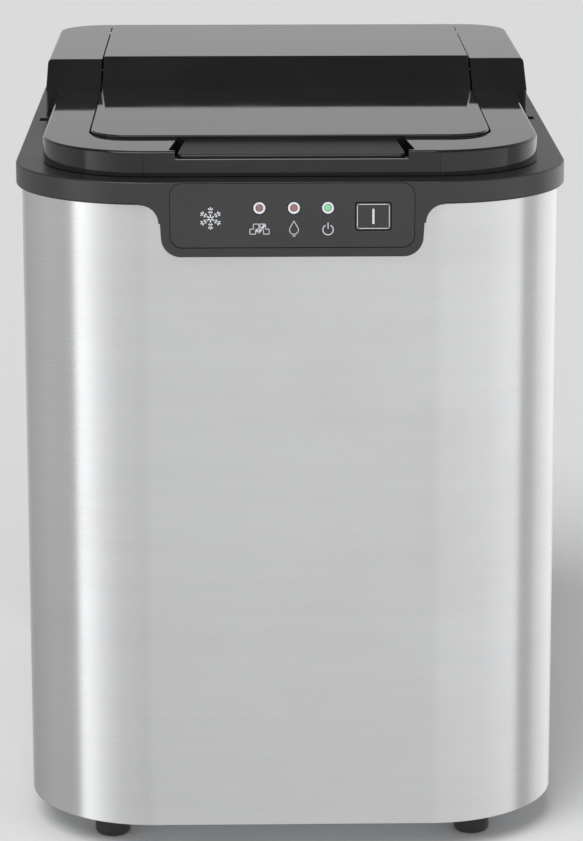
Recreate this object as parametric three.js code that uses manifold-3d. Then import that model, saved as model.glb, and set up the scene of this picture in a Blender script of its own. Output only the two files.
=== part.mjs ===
// Countertop ice maker: a steel-wrapped cabinet with a glossy black top, a hinged lid over an ice
// basket and a freezing tray, and a small refrigeration circuit in the machine room below the tank.
// Millimetres. +X is to the right of someone facing the front, +Y goes to the rear, +Z is up, and the
// origin is the middle of the footprint, on the table.
import * as THREE from "three";
import { mergeVertices } from "three/addons/utils/BufferGeometryUtils.js";
import Module from "manifold-3d";

const wasm = await Module();
wasm.setup();

// Overall size.
const WIDTH = 242;
const DEPTH = 358;
const HEIGHT = 328;

// Clearances.
const FIT = 0.3; // between two pieces that touch
const RUN = 0.4; // between a turning piece and its bearing, on the radius
const LID_GAP = 1; // seam round the lid
const HINGE_GAP = 1.5; // seam behind the lid

// Cabinet.
const CORNER_RADIUS = 60; // front corners, seen from above
const REAR_RADIUS = 30;
const REAR_BULGE = 12; // how far the rear panel stands out
const FOOT_HEIGHT = 13;
const FOOT_RADIUS = 8;
const FOOT_INSET_X = 40;
const FOOT_INSET_FRONT = 30;
const FOOT_INSET_REAR = 59;
const STEM_RADIUS = 2.7;
const RIM_DROP = 25; // from the top of the hump down to the rim
const BAND_HEIGHT = 10;
const FRAME_WALL = 2.2;
const SHEET = 1; // steel of the wrap
const WRAP_INSET = 2.5; // the wrap stands back from the rim by this much
const WRAP_TUCK = 4; // and goes up inside the rim by this much
const PAN_SHEET = 1.5;
const PAN_EDGE = 10;
const PAN_LIFT = 2; // underside of the pan above the lower edge of the wrap

// Control panel.
const BEZEL_HALF = 57;
const BEZEL_TAPER = 1.5;
const BEZEL_DROP = 22.5; // below the rim band
const BEZEL_RADIUS = 8;
const LABEL_WIDTH = 104;
const LABEL_HEIGHT = 27.6;
const LABEL_MARGIN = 0.8; // from the rim's top down to the label
const LABEL_SHEET = 0.8;
const LABEL_RADIUS = 5;
const BUTTON_WIDTH = 15;
const BUTTON_HEIGHT = 11.8;
const BUTTON_X = 34.5;
const BUTTON_DROP = 15.1; // from the rim's top down to the button's middle
const BUTTON_TRAVEL = 0.8;
const LIGHT_RADIUS = 2.6;
const LIGHT_DROP = 11.4;
const LIGHTS = { indicator_ice_full: -14, indicator_add_water: 0.7, indicator_running: 15.2 };
const BOARD = 1.6; // thickness of a circuit board

// Cover and lid.
const COVER_WALL = 2.5;
const COVER_INSET = 12; // low front part, from the rim's front and sides
const COVER_RADIUS = 48;
const HUMP_INSET = 6;
const HUMP_RISE = 12.5; // the hump stands this much above the low front part
const HUMP_TOE = 186; // all four from the front of the machine
const HUMP_CREST = 209;
const LID_FRONT = 47;
const HINGE_MARGIN = 36.5; // hinge line from the rear of the machine
const LID_MARGIN = 33; // side of the lid from the side of the machine
const LID_RADIUS = 18;
const LID_WALL = 2.5;
const LID_SKIRT = 7;
const LINER = 2;
const BARREL = 4; // radius of the lid's rear edge, round the hinge line
const PIN_RADIUS = 1.7;
const PIN_LENGTH = 12;
const GRIP_HALF = 50; // half the width of the pull tab at its front
const GRIP_FLARE = 3.5;
const GRIP_REACH = 23;
const GRIP_DROP = 3;
const GRIP_GAP = 3;
const GRIP_SHEET = 3;

// Water tank, basket and freezing unit.
const TANK_MARGIN_X = 37; // inside of the tank from the sides of the machine
const TANK_FRONT = 56;
const TANK_REAR_MARGIN = 46;
const TANK_WALL = 2.2;
const TANK_RADIUS = 15;
const MACHINE_ROOM = 127; // height between the feet and the tank
const TANK_FLANGE = 2;
const BASKET_WALL = 2;
const BASKET_LENGTH = 124;
const BASKET_LIFT = 35;
const TRAY_DROP = 47; // from the hump's top down to the tray's axis
const TRAY_PLACE = 250; // from the front of the machine
const TRAY_RADIUS = 36;
const TRAY_HALF = 66;
const TRAY_WALL = 2;
const FINGER_RADIUS = 5.5;
const FINGER_PITCH = 24;
const FINGER_CLEARANCE = 9; // from the fingers' tips to the trough's outer face
const FINGER_TIP = TRAY_RADIUS - FINGER_CLEARANCE;
const SHOVEL_HEIGHT = 11.2;
const CHUTE = 2;
const PIPE = 3; // radius of the refrigerant pipes

// Machine room.
const COMPRESSOR_RADIUS = 48;
const COMPRESSOR_TALL = 104;
const FAN_RADIUS = 40;
const SHROUD = 92;
const PANEL_WALL = 2.2;
const PANEL_HALF = 80;

// Places worked out from the sizes above.
const FRONT = -DEPTH / 2;
const REAR = DEPTH / 2;
const FRAME_REAR = REAR - REAR_BULGE;
const RIM_TOP = HEIGHT - RIM_DROP;
const RIM_BOTTOM = RIM_TOP - BAND_HEIGHT;
const LID_LEVEL = HEIGHT - HUMP_RISE;
const COVER_BASE = RIM_TOP + FIT;
const TOE_Y = FRONT + HUMP_TOE;
const CREST_Y = FRONT + HUMP_CREST;
const LID_FRONT_Y = FRONT + LID_FRONT;
const LID_HALF = WIDTH / 2 - LID_MARGIN;
const HINGE_Y = REAR - HINGE_MARGIN;
const HINGE_Z = HEIGHT - BARREL;
const LID_REAR_Y = HINGE_Y + BARREL;
const PAN_Z = FOOT_HEIGHT + PAN_LIFT;
const PAN_TOP = PAN_Z + PAN_SHEET;
const TANK_HALF = WIDTH / 2 - TANK_MARGIN_X;
const TANK_FRONT_Y = FRONT + TANK_FRONT;
const TANK_REAR_Y = REAR - TANK_REAR_MARGIN;
const TANK_BOTTOM = FOOT_HEIGHT + MACHINE_ROOM;
const TANK_FLOOR = TANK_BOTTOM + TANK_WALL;
const TRAY_Y = FRONT + TRAY_PLACE;
const TRAY_Z = HEIGHT - TRAY_DROP;
const CHUTE_TOP = TRAY_Z - TRAY_RADIUS - SHOVEL_HEIGHT - 2 * FIT;
const FAN_X = WIDTH / 2 - 62;
const FAN_Z = PAN_TOP + SHROUD / 2 + FIT;

// ---------------------------------------------------------------------------------------------
// Shapes and solids.

const degrees = (angle) => (angle * Math.PI) / 180;

// A closed outline from [x, y, radius] corners, each corner rounded by an arc where it has a radius.
function rounded(corners) {
  const points = [];
  corners.forEach(([x, y, radius = 0], i) => {
    const corner = new THREE.Vector2(x, y);
    if (radius <= 0) {
      points.push(corner);
      return;
    }
    const [lastX, lastY] = corners.at(i - 1);
    const [nextX, nextY] = corners[(i + 1) % corners.length];
    const toLast = new THREE.Vector2(lastX - x, lastY - y).normalize();
    const toNext = new THREE.Vector2(nextX - x, nextY - y).normalize();
    const half = Math.acos(toLast.dot(toNext)) / 2;
    const centre = toLast.clone().add(toNext).setLength(radius / Math.sin(half)).add(corner);
    const spoke = toLast.multiplyScalar(radius / Math.tan(half)).add(corner).sub(centre);
    const exit = toNext.multiplyScalar(radius / Math.tan(half)).add(corner).sub(centre);
    const sweep = Math.sign(spoke.cross(exit)) * (Math.PI - 2 * half);
    const steps = radius > 20 ? 9 : 4;
    for (let k = 0; k <= steps; k += 1) {
      const turned = spoke.clone().rotateAround(new THREE.Vector2(), (sweep * k) / steps);
      points.push(turned.add(centre));
    }
  });
  return new THREE.Shape(points);
}

// A rectangle between two corners, with one radius all round.
function rectangle(x0, x1, y0, y1, radius = 0) {
  return rounded([[x0, y0, radius], [x1, y0, radius], [x1, y1, radius], [x0, y1, radius]]);
}

// A plan outline that is symmetric about X = 0.
function outline(half, front, rear, frontRadius, rearRadius) {
  return rounded([
    [-half, front, frontRadius],
    [half, front, frontRadius],
    [half, rear, rearRadius],
    [-half, rear, rearRadius],
  ]);
}

// The cabinet's plan, moved inwards by an inset.
function plan(inset) {
  const front = FRONT + inset;
  const rear = FRAME_REAR - inset;
  return outline(WIDTH / 2 - inset, front, rear, CORNER_RADIUS - inset, REAR_RADIUS - inset);
}

// Points of an arc, angles in degrees from the first axis.
function arc(radius, from, to, steps) {
  const at = (k) => degrees(from + ((to - from) * k) / steps);
  return Array.from({ length: steps + 1 }, (_, k) => [radius * Math.cos(at(k)), radius * Math.sin(at(k))]);
}

function block(x0, x1, y0, y1, z0, z1) {
  const box = new THREE.BoxGeometry(x1 - x0, y1 - y0, z1 - z0);
  return box.translate((x0 + x1) / 2, (y0 + y1) / 2, (z0 + z1) / 2);
}

function extrude(shape, length) {
  return new THREE.ExtrudeGeometry(shape, { depth: length, bevelEnabled: false, curveSegments: 6 });
}

// A shape in plan, (X, Y), extruded upwards.
function slab(shape, z0, z1) {
  return extrude(shape, z1 - z0).translate(0, 0, z0);
}

// A shape seen from the side, (Y, Z), extruded along X.
function across(shape, x0, x1) {
  const turn = new THREE.Matrix4().makeBasis(
    new THREE.Vector3(0, 1, 0),
    new THREE.Vector3(0, 0, 1),
    new THREE.Vector3(1, 0, 0),
  );
  return extrude(shape, x1 - x0).applyMatrix4(turn).translate(x0, 0, 0);
}

// A shape seen from the front, (X, Z), extruded towards the rear.
function deep(shape, y0, y1) {
  const turn = new THREE.Matrix4().makeBasis(
    new THREE.Vector3(1, 0, 0),
    new THREE.Vector3(0, 0, 1),
    new THREE.Vector3(0, -1, 0),
  );
  return extrude(shape, y1 - y0).applyMatrix4(turn).translate(0, y1, 0);
}

function rodX(radius, x0, x1, y = 0, z = 0, sides = 16) {
  const rod = new THREE.CylinderGeometry(radius, radius, x1 - x0, sides).rotateZ(Math.PI / 2);
  return rod.translate((x0 + x1) / 2, y, z);
}

function rodY(radius, y0, y1, x = 0, z = 0, sides = 16) {
  return new THREE.CylinderGeometry(radius, radius, y1 - y0, sides).translate(x, (y0 + y1) / 2, z);
}

function rodZ(radius, z0, z1, x = 0, y = 0, sides = 16) {
  const rod = new THREE.CylinderGeometry(radius, radius, z1 - z0, sides).rotateX(Math.PI / 2);
  return rod.translate(x, y, (z0 + z1) / 2);
}

// A turned piece on the Z axis, from [radius, z] points that start and end on the axis.
function turned(profile, sides = 24) {
  const points = profile.map(([radius, z]) => new THREE.Vector2(radius, z));
  return new THREE.LatheGeometry(points, sides).rotateX(Math.PI / 2);
}

// A path that an extrusion follows from station to station: the ends of each straight, and a few
// places in each bend.
class Route extends THREE.Curve {
  constructor(stations) {
    super();
    this.stations = stations;
  }

  station(u) {
    return this.stations[Math.round(u * (this.stations.length - 1))];
  }

  getPointAt(u) {
    return this.station(u).point.clone();
  }

  getTangentAt(u) {
    return this.station(u).tangent.clone();
  }
}

// A round pipe through the given points. Each bend starts and ends at one distance from its corner.
function pipe(points, radius, bend, sides = 8) {
  const stops = points.map((point) => new THREE.Vector3(...point));
  const along = stops.slice(1).map((stop, i) => stop.clone().sub(stops[i]).normalize());
  const stations = [{ point: stops[0], tangent: along[0] }];
  stops.slice(1, -1).forEach((stop, i) => {
    const before = stop.clone().addScaledVector(along[i], -bend);
    const after = stop.clone().addScaledVector(along[i + 1], bend);
    const corner = new THREE.QuadraticBezierCurve3(before, stop, after);
    [0, 0.25, 0.5, 0.75, 1].forEach((t) =>
      stations.push({ point: corner.getPoint(t), tangent: corner.getTangent(t) }));
  });
  stations.push({ point: stops.at(-1), tangent: along.at(-1) });
  const section = arc(radius, 0, 360 - 360 / sides, sides - 1).map(([x, y]) => new THREE.Vector2(x, y));
  const settings = { steps: stations.length - 1, extrudePath: new Route(stations), bevelEnabled: false };
  return new THREE.ExtrudeGeometry(new THREE.Shape(section), settings);
}

function toSolid(geometry) {
  const flat = geometry.index ? geometry.toNonIndexed() : geometry;
  const bare = new THREE.BufferGeometry().setAttribute("position", flat.getAttribute("position"));
  const merged = mergeVertices(bare, 1e-4);
  return new wasm.Manifold(
    new wasm.Mesh({
      numProp: 3,
      vertProperties: new Float32Array(merged.getAttribute("position").array),
      triVerts: new Uint32Array(merged.index.array),
    }),
  );
}

function toGeometry(solid) {
  const mesh = solid.getMesh();
  const shared = new THREE.BufferGeometry();
  shared.setAttribute("position", new THREE.BufferAttribute(new Float32Array(mesh.vertProperties), 3));
  shared.setIndex(new THREE.BufferAttribute(new Uint32Array(mesh.triVerts), 1));
  const geometry = shared.toNonIndexed();
  geometry.computeVertexNormals();
  return geometry;
}

function join(...pieces) {
  return toGeometry(pieces.map(toSolid).reduce((whole, piece) => whole.add(piece)));
}

function cut(base, ...tools) {
  return toGeometry(tools.map(toSolid).reduce((rest, tool) => rest.subtract(tool), toSolid(base)));
}

function common(first, second) {
  return toGeometry(toSolid(first).intersect(toSolid(second)));
}

// The same number of steps, evenly spaced: [start, start + pitch, ...].
function row(count, start, pitch) {
  return Array.from({ length: count }, (_, k) => start + k * pitch);
}

// One named sub-part with its own material.
function part(name, geometry, color, roughness, metalness = 0) {
  const mesh = new THREE.Mesh(geometry, new THREE.MeshStandardMaterial({ color, roughness, metalness }));
  mesh.name = name;
  return mesh;
}

function placed(mesh, x, y, z) {
  mesh.position.set(x, y, z);
  return mesh;
}

// ---------------------------------------------------------------------------------------------
// Cabinet: wrap, pan, feet, rear panel and the black frame round the top.

const PANEL_FACE = FRAME_REAR - WRAP_INSET + FIT; // front of the rear panel's flange
const SCREW_HEIGHTS = [FOOT_HEIGHT + 27, RIM_BOTTOM - 28];
const SCREW_X = PANEL_HALF + 5;
const WRAP_TOP = RIM_BOTTOM + WRAP_TUCK;
const CONTROL_HALF = 48; // half of the window in the wrap behind the bezel
const CONTROL_SILL = RIM_BOTTOM - 17;
const FEET = {
  foot_front_left: [FOOT_INSET_X - WIDTH / 2, FRONT + FOOT_INSET_FRONT],
  foot_front_right: [WIDTH / 2 - FOOT_INSET_X, FRONT + FOOT_INSET_FRONT],
  foot_rear_left: [FOOT_INSET_X - WIDTH / 2, REAR - FOOT_INSET_REAR],
  foot_rear_right: [WIDTH / 2 - FOOT_INSET_X, REAR - FOOT_INSET_REAR],
};

function bodyWrap() {
  const sheet = cut(
    slab(plan(WRAP_INSET), FOOT_HEIGHT, WRAP_TOP),
    slab(plan(WRAP_INSET + SHEET), FOOT_HEIGHT - 1, WRAP_TOP + 1),
  );
  const control = block(-CONTROL_HALF, CONTROL_HALF, FRONT, FRONT + 10, CONTROL_SILL, WRAP_TOP + 1);
  const back = deep(rectangle(-PANEL_HALF + 2, PANEL_HALF - 2, 24, RIM_BOTTOM - 12, 6), 140, REAR);
  const louvres = row(8, FRONT + 204, 11).map((y) =>
    block(-WIDTH / 2, WIDTH / 2, y, y + 4, FOOT_HEIGHT + 37, FOOT_HEIGHT + 97));
  const holes = SCREW_HEIGHTS.flatMap((z) =>
    [-SCREW_X, SCREW_X].map((x) => rodY(1.9, FRAME_REAR - 10, FRAME_REAR, x, z, 10)));
  return cut(sheet, control, back, ...louvres, ...holes);
}

function basePan() {
  const inset = WRAP_INSET + SHEET + FIT;
  const edge = slab(plan(inset), PAN_Z, PAN_TOP + PAN_EDGE);
  const inside = slab(plan(inset + PAN_SHEET), PAN_TOP, PAN_TOP + PAN_EDGE + 1);
  const stems = Object.values(FEET).map(([x, y]) => rodZ(STEM_RADIUS + FIT, 0, PAN_TOP + 1, x, y, 12));
  return cut(edge, inside, ...stems);
}

function foot() {
  const top = PAN_Z - FIT;
  return turned(
    [
      [0, 0],
      [FOOT_RADIUS - 1, 0],
      [FOOT_RADIUS, 1.5],
      [FOOT_RADIUS, top],
      [STEM_RADIUS, top],
      [STEM_RADIUS, PAN_TOP + 1],
      [STEM_RADIUS - 0.7, PAN_TOP + 4],
      [0, PAN_TOP + 4],
    ],
    16,
  );
}

function rearPanel() {
  const top = RIM_BOTTOM - 5;
  const flange = rectangle(-PANEL_HALF - 10, PANEL_HALF + 10, 17, top, 6);
  const bulge = rectangle(-PANEL_HALF, PANEL_HALF, 24, top - 7, 8);
  const inner = rectangle(-PANEL_HALF + PANEL_WALL, PANEL_HALF - PANEL_WALL, 24 + PANEL_WALL,
    top - 7 - PANEL_WALL, 6);
  const shell = cut(
    join(deep(flange, PANEL_FACE, PANEL_FACE + 2), deep(bulge, PANEL_FACE, REAR)),
    deep(inner, PANEL_FACE - 1, REAR - PANEL_WALL),
  );
  const fanSide = row(10, 32, 8).map((z) => block(14, PANEL_HALF - 6, REAR - 5, REAR + 1, z, z + 4));
  const otherSide = row(6, 64, 8).map((z) => block(6 - PANEL_HALF, -14, REAR - 5, REAR + 1, z, z + 4));
  const holes = SCREW_HEIGHTS.flatMap((z) =>
    [-SCREW_X, SCREW_X].map((x) => rodY(1.9, PANEL_FACE - 1, PANEL_FACE + 3, x, z, 10)));
  const drain = rodY(DRAIN_HEAD + 1.5, REAR - 5, REAR + 1, 0, DRAIN_Z, 24);
  const gland = rodY(GLAND_RADIUS + FIT, REAR - 5, REAR + 1, GLAND_X, DRAIN_Z, 20);
  return cut(shell, ...fanSide, ...otherSide, ...holes, drain, gland);
}

function rearScrew() {
  const head = rodY(3.5, PANEL_FACE + 2 + FIT, PANEL_FACE + 4.3, 0, 0, 14);
  const shank = rodY(1.5, PANEL_FACE - 7, PANEL_FACE + 3, 0, 0, 10);
  const slot = block(-2.6, 2.6, PANEL_FACE + 3.5, PANEL_FACE + 5, -0.4, 0.4);
  return cut(join(head, shank), slot);
}

const DRAIN_Z = FOOT_HEIGHT + 24;
const DRAIN_HEAD = 9;
const GLAND_X = -50;
const GLAND_RADIUS = 8;

function cordGland() {
  const collar = rodY(GLAND_RADIUS + 2.5, REAR - PANEL_WALL - 2.4, REAR - PANEL_WALL - FIT, 0, 0, 20);
  const neck = rodY(GLAND_RADIUS, REAR - 11, REAR - 0.4, 0, 0, 20);
  return cut(join(collar, neck), rodY(4, REAR - 12, REAR, 0, 0, 16));
}

// The frame's openings: tank, label pocket, lights, button and the two sight holes for the cover's clips.
function topFrame() {
  const band = slab(plan(0), RIM_BOTTOM, RIM_TOP);
  const hollow = slab(plan(FRAME_WALL), RIM_BOTTOM - 1, RIM_TOP - FRAME_WALL);
  const tub = tankOutline(TANK_WALL + 0.5);
  const low = RIM_BOTTOM - BEZEL_DROP;
  const flat = BEZEL_HALF + 2 * BEZEL_RADIUS;
  const tongue = rounded([
    [-flat, RIM_BOTTOM + 1],
    [-flat, RIM_BOTTOM],
    [-BEZEL_HALF, RIM_BOTTOM, BEZEL_RADIUS],
    [BEZEL_TAPER - BEZEL_HALF, low, BEZEL_RADIUS],
    [BEZEL_HALF - BEZEL_TAPER, low, BEZEL_RADIUS],
    [BEZEL_HALF, RIM_BOTTOM, BEZEL_RADIUS],
    [flat, RIM_BOTTOM],
    [flat, RIM_BOTTOM + 1],
  ]);
  const bezel = common(deep(tongue, FRONT, FRONT + WRAP_INSET - FIT), slab(plan(0), low - 1, RIM_TOP));
  const pocket = deep(labelOutline(FIT), FRONT - 1, FRONT + LABEL_SHEET + FIT);
  const clips = [-1, 1].map((side) =>
    block(side * (WIDTH / 2 - 5.7) - 2, side * (WIDTH / 2 - 5.7) + 2, TOE_Y - 18, TOE_Y - 9, RIM_TOP - 5,
      RIM_TOP + 1));
  return cut(
    join(cut(band, hollow), bezel),
    slab(tub, RIM_TOP - 5, RIM_TOP + 1),
    pocket,
    ...controlHoles(FRONT, FRONT + 5),
    ...clips,
  );
}

function tankOutline(out) {
  const radius = TANK_RADIUS + out;
  return outline(TANK_HALF + out, TANK_FRONT_Y - out, TANK_REAR_Y + out, radius, radius);
}

// ---------------------------------------------------------------------------------------------
// Control panel, behind and in the frame's front tongue.

const LABEL_TOP = RIM_TOP - LABEL_MARGIN;
const BUTTON_Z = RIM_TOP - BUTTON_DROP;
const LIGHT_Z = RIM_TOP - LIGHT_DROP;
const BOARD_Y = FRONT + WRAP_INSET + SHEET + 2.6;

function labelOutline(out) {
  const half = LABEL_WIDTH / 2 + out;
  return rectangle(-half, half, LABEL_TOP - LABEL_HEIGHT - out, LABEL_TOP + out, LABEL_RADIUS + out);
}

function buttonOutline(out) {
  const half = BUTTON_WIDTH / 2 + out;
  const tall = BUTTON_HEIGHT / 2 + out;
  return rectangle(BUTTON_X - half, BUTTON_X + half, BUTTON_Z - tall, BUTTON_Z + tall, 1 + out);
}

// The openings for the button and the lights, from one depth to another.
function controlHoles(y0, y1) {
  const lights = Object.values(LIGHTS).map((x) => rodY(LIGHT_RADIUS + FIT, y0 - 1, y1, x, LIGHT_Z));
  return [deep(buttonOutline(FIT), y0 - 1, y1), ...lights];
}

function controlLabel() {
  return cut(deep(labelOutline(0), FRONT, FRONT + LABEL_SHEET), ...controlHoles(FRONT, FRONT + 5));
}

function powerButton() {
  const cap = deep(buttonOutline(0), FRONT + 0.1, FRONT + WRAP_INSET + 0.5);
  const skirt = deep(buttonOutline(1.2), FRONT + WRAP_INSET, FRONT + WRAP_INSET + 1);
  const stem = rodY(2, FRONT + WRAP_INSET, BOARD_Y - BUTTON_TRAVEL - FIT, BUTTON_X, BUTTON_Z, 12);
  return join(cap, skirt, stem);
}

function indicator() {
  const slot = block(-9, 9, FRONT, FRONT + 0.5, -0.2, 0.2);
  return cut(rodY(LIGHT_RADIUS, FRONT + 0.1, BOARD_Y - FIT), slot);
}

function controlBoard() {
  const board = block(2 - CONTROL_HALF, CONTROL_HALF - 2, BOARD_Y, BOARD_Y + BOARD, CONTROL_SILL + 1,
    RIM_TOP - FRAME_WALL - 2);
  const rear = BOARD_Y + BOARD;
  const socket = block(-8, 8, rear - 0.2, rear + 7, CONTROL_SILL + 3, CONTROL_SILL + 10);
  return join(board, socket);
}

// ---------------------------------------------------------------------------------------------
// Fixed cover round the lid: a low front part and a hump at the rear, hollow underneath.

const COVER_HALF = WIDTH / 2 - COVER_INSET;
const HUMP_HALF = WIDTH / 2 - HUMP_INSET;
const COVER_FRONT_Y = FRONT + COVER_INSET;
const COVER_REAR_Y = FRAME_REAR - HUMP_INSET;
const OPENING_HALF = LID_HALF + LID_GAP;
const OPENING_REAR_Y = LID_REAR_Y + HINGE_GAP;

// The cover's outside, moved inwards and downwards by a wall.
function coverBody(wall, base) {
  const half = COVER_HALF - wall;
  const front = COVER_FRONT_Y + wall;
  const low = slab(outline(half, front, CREST_Y, COVER_RADIUS - wall, 0), base, LID_LEVEL - wall);
  const side = rounded([
    [TOE_Y + wall, base],
    [COVER_REAR_Y - wall, base],
    [COVER_REAR_Y - wall, HEIGHT - wall, 4 - wall / 2],
    [CREST_Y + wall / 2, HEIGHT - wall, 3],
    [TOE_Y + wall, LID_LEVEL - wall],
  ]);
  const hump = common(
    across(side, wall - HUMP_HALF, HUMP_HALF - wall),
    slab(outline(HUMP_HALF - wall, TOE_Y - 9, COVER_REAR_Y - wall, 1, 24 - wall), base - 1, HEIGHT + 1),
  );
  return join(low, hump);
}

function lidOpening(out, z0, z1) {
  const half = OPENING_HALF + out;
  const front = LID_FRONT_Y - LID_GAP - out;
  return slab(outline(half, front, OPENING_REAR_Y + out, LID_RADIUS + LID_GAP + out, 0), z0, z1);
}

// The pocket of the pull tab: a trapezoid that is wider at its front.
function gripPocket(out, z0, z1) {
  const front = LID_FRONT_Y - GRIP_REACH - GRIP_GAP - 7;
  const rear = LID_FRONT_Y - LID_GAP + 3;
  const wide = GRIP_HALF + GRIP_GAP + out;
  const shape = rounded([
    [-wide, front - out, 2],
    [wide, front - out, 2],
    [wide - GRIP_FLARE, rear],
    [GRIP_FLARE - wide, rear],
  ]);
  return slab(shape, z0, z1);
}

function topCover() {
  const shell = cut(coverBody(0, COVER_BASE), coverBody(COVER_WALL, COVER_BASE - 1));
  const lip = COVER_BASE + TANK_FLANGE + 0.7;
  const rim = common(lidOpening(2, lip, HEIGHT + 1), coverBody(0, COVER_BASE));
  const grip = common(gripPocket(2, COVER_BASE, LID_LEVEL), coverBody(0, COVER_BASE));
  const bores = [-1, 1].map((side) =>
    rodX(PIN_RADIUS + FIT, side * OPENING_HALF - 4, side * OPENING_HALF + 4, HINGE_Y, HINGE_Z, 12));
  return cut(
    join(shell, rim, grip),
    lidOpening(0, COVER_BASE - 1, HEIGHT + 1),
    gripPocket(0, COVER_BASE + 2, HEIGHT),
    block(-GRIP_HALF, GRIP_HALF, FRONT, COVER_FRONT_Y + 3, LID_LEVEL - 5, HEIGHT),
    ...bores,
  );
}

// ---------------------------------------------------------------------------------------------
// Lid: a stepped shell, its liner, the pull tab and the two hinge pins.

const LID_STEEP = (HEIGHT - LID_LEVEL) / (CREST_Y - TOE_Y);

// The lid's side view, moved down by a depth, between two places along Y.
function lidLine(front, rear, depth) {
  return [
    [rear, HEIGHT - depth],
    [CREST_Y + depth * LID_STEEP * 0.3, HEIGHT - depth],
    [TOE_Y + depth * LID_STEEP * 0.3, LID_LEVEL - depth],
    [front, LID_LEVEL - depth],
  ];
}

function lidBody(half, front, rear, top, bottom, rearCorners) {
  const upper = lidLine(front, rear, top);
  const lower = lidLine(front, rear, bottom).reverse();
  const side = rounded([...lower.slice(0, 3), ...rearCorners, ...upper.slice(1)]);
  const radius = LID_RADIUS - (LID_HALF - half);
  return common(
    across(side, -half, half),
    slab(outline(half, front, LID_REAR_Y + 1, radius, 0), RIM_TOP, HEIGHT + 1),
  );
}

function lidShell() {
  const round = BARREL - 0.1;
  const barrel = [[LID_REAR_Y, HEIGHT - 2 * BARREL, round], [LID_REAR_Y, HEIGHT, round]];
  const body = lidBody(LID_HALF, LID_FRONT_Y, HINGE_Y, 0, LID_SKIRT, barrel);
  const rear = HINGE_Y - BARREL - 2;
  const inner = lidBody(LID_HALF - LID_WALL, LID_FRONT_Y + LID_WALL, rear, LID_WALL, LID_SKIRT + 5, [
    [rear, HEIGHT - LID_SKIRT - 5],
    [rear, HEIGHT - LID_WALL],
  ]);
  const bores = [-1, 1].map((side) => {
    const end = side * (LID_HALF + 1);
    const root = side * (LID_HALF + 4 - PIN_LENGTH);
    return rodX(PIN_RADIUS + RUN, Math.min(end, root), Math.max(end, root), HINGE_Y, HINGE_Z, 12);
  });
  return cut(body, inner, ...bores);
}

function lidLiner() {
  const rear = HINGE_Y - BARREL - 2 - FIT;
  const edge = LID_WALL + FIT;
  return lidBody(LID_HALF - edge, LID_FRONT_Y + edge, rear, LID_SKIRT - LINER, LID_SKIRT, [
    [rear, HEIGHT - LID_SKIRT],
    [rear, HEIGHT - LID_SKIRT + LINER],
  ]);
}

function lidHandle() {
  const rear = LID_FRONT_Y - FIT;
  const front = rear - GRIP_REACH;
  const top = LID_LEVEL - 2;
  const side = rounded([
    [front, top - GRIP_DROP - GRIP_SHEET, 1.2],
    [rear, top - GRIP_SHEET],
    [rear, top],
    [front, top - GRIP_DROP, 1.4],
  ]);
  const shape = rounded([
    [-GRIP_HALF, front, 3],
    [GRIP_HALF, front, 3],
    [GRIP_HALF - GRIP_FLARE, rear],
    [GRIP_FLARE - GRIP_HALF, rear],
  ]);
  return common(across(side, -GRIP_HALF, GRIP_HALF), slab(shape, RIM_TOP, HEIGHT));
}

// ---------------------------------------------------------------------------------------------
// Water tank, ice basket and sensors.

const TANK_TOP = RIM_TOP + FIT + TANK_FLANGE;
const RIB_TOP = TANK_FLOOR + 23.5;
const BASKET_FRONT_Y = TANK_FRONT_Y + 4;
const BASKET_REAR_Y = BASKET_FRONT_Y + BASKET_LENGTH;
const BASKET_HALF = TANK_HALF - 4;
const BASKET_TOP = RIM_TOP - BASKET_LIFT;
const SHAFT_RADIUS = 2.5;
const DRAIN_Y = REAR - 58;
const SENSOR = 1.6; // half the thickness of an ice sensor
const HOSE_RADIUS = 5;

function waterTank() {
  const tub = slab(tankOutline(TANK_WALL), TANK_BOTTOM, RIM_TOP + 1);
  const flange = slab(tankOutline(TANK_WALL + 7), RIM_TOP + FIT, TANK_TOP);
  const inside = slab(tankOutline(0), TANK_FLOOR, TANK_TOP + 1);
  const ribs = [-50, 50].map((x) =>
    block(x - 1.5, x + 1.5, TANK_FRONT_Y + 14, BASKET_REAR_Y - 10, TANK_FLOOR - 0.5, RIB_TOP));
  const corner = 1 - TANK_HALF;
  const pipes = block(corner, corner + 13, TANK_REAR_Y - 6, TANK_REAR_Y + 5, RIM_TOP - 23, RIM_TOP);
  const shaft = rodX(SHAFT_RADIUS + 2.5, TANK_HALF - 1, TANK_HALF + 5, TRAY_Y, TRAY_Z);
  const pin = rodX(TRAY_PIN + FIT, -TANK_HALF - 5, 1 - TANK_HALF, TRAY_Y, TRAY_Z, 12);
  const drain = rodZ(4, TANK_BOTTOM - 1, TANK_FLOOR + 1, 0, DRAIN_Y);
  return cut(join(cut(join(tub, flange), inside), ...ribs), pipes, shaft, pin, drain);
}

function iceBasket() {
  const plate = (inset) =>
    outline(BASKET_HALF - inset, BASKET_FRONT_Y + inset, BASKET_REAR_Y - inset, 12 - inset, 6 - inset);
  const bottom = RIB_TOP + FIT;
  const floor = bottom + BASKET_WALL;
  const box = cut(slab(plate(0), bottom, BASKET_TOP), slab(plate(BASKET_WALL), floor, BASKET_TOP + 1));
  const low = CHUTE_TOP - 3;
  const wide = BASKET_HALF - 9;
  const back = block(-wide, wide, BASKET_REAR_Y - 4, BASKET_REAR_Y + 1, low, BASKET_TOP + 1);
  const drains = row(8, BASKET_FRONT_Y + 14, 13).flatMap((y) =>
    [-1, 1].map((side) => block(side * 36 - 24, side * 36 + 24, y, y + 4, bottom - 1, floor + 1)));
  const grips = [-1, 1].map((side) =>
    block(side * BASKET_HALF - 4, side * BASKET_HALF + 4, -76, -40, BASKET_TOP - 22, BASKET_TOP - 12));
  return cut(box, back, ...drains, ...grips);
}

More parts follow.
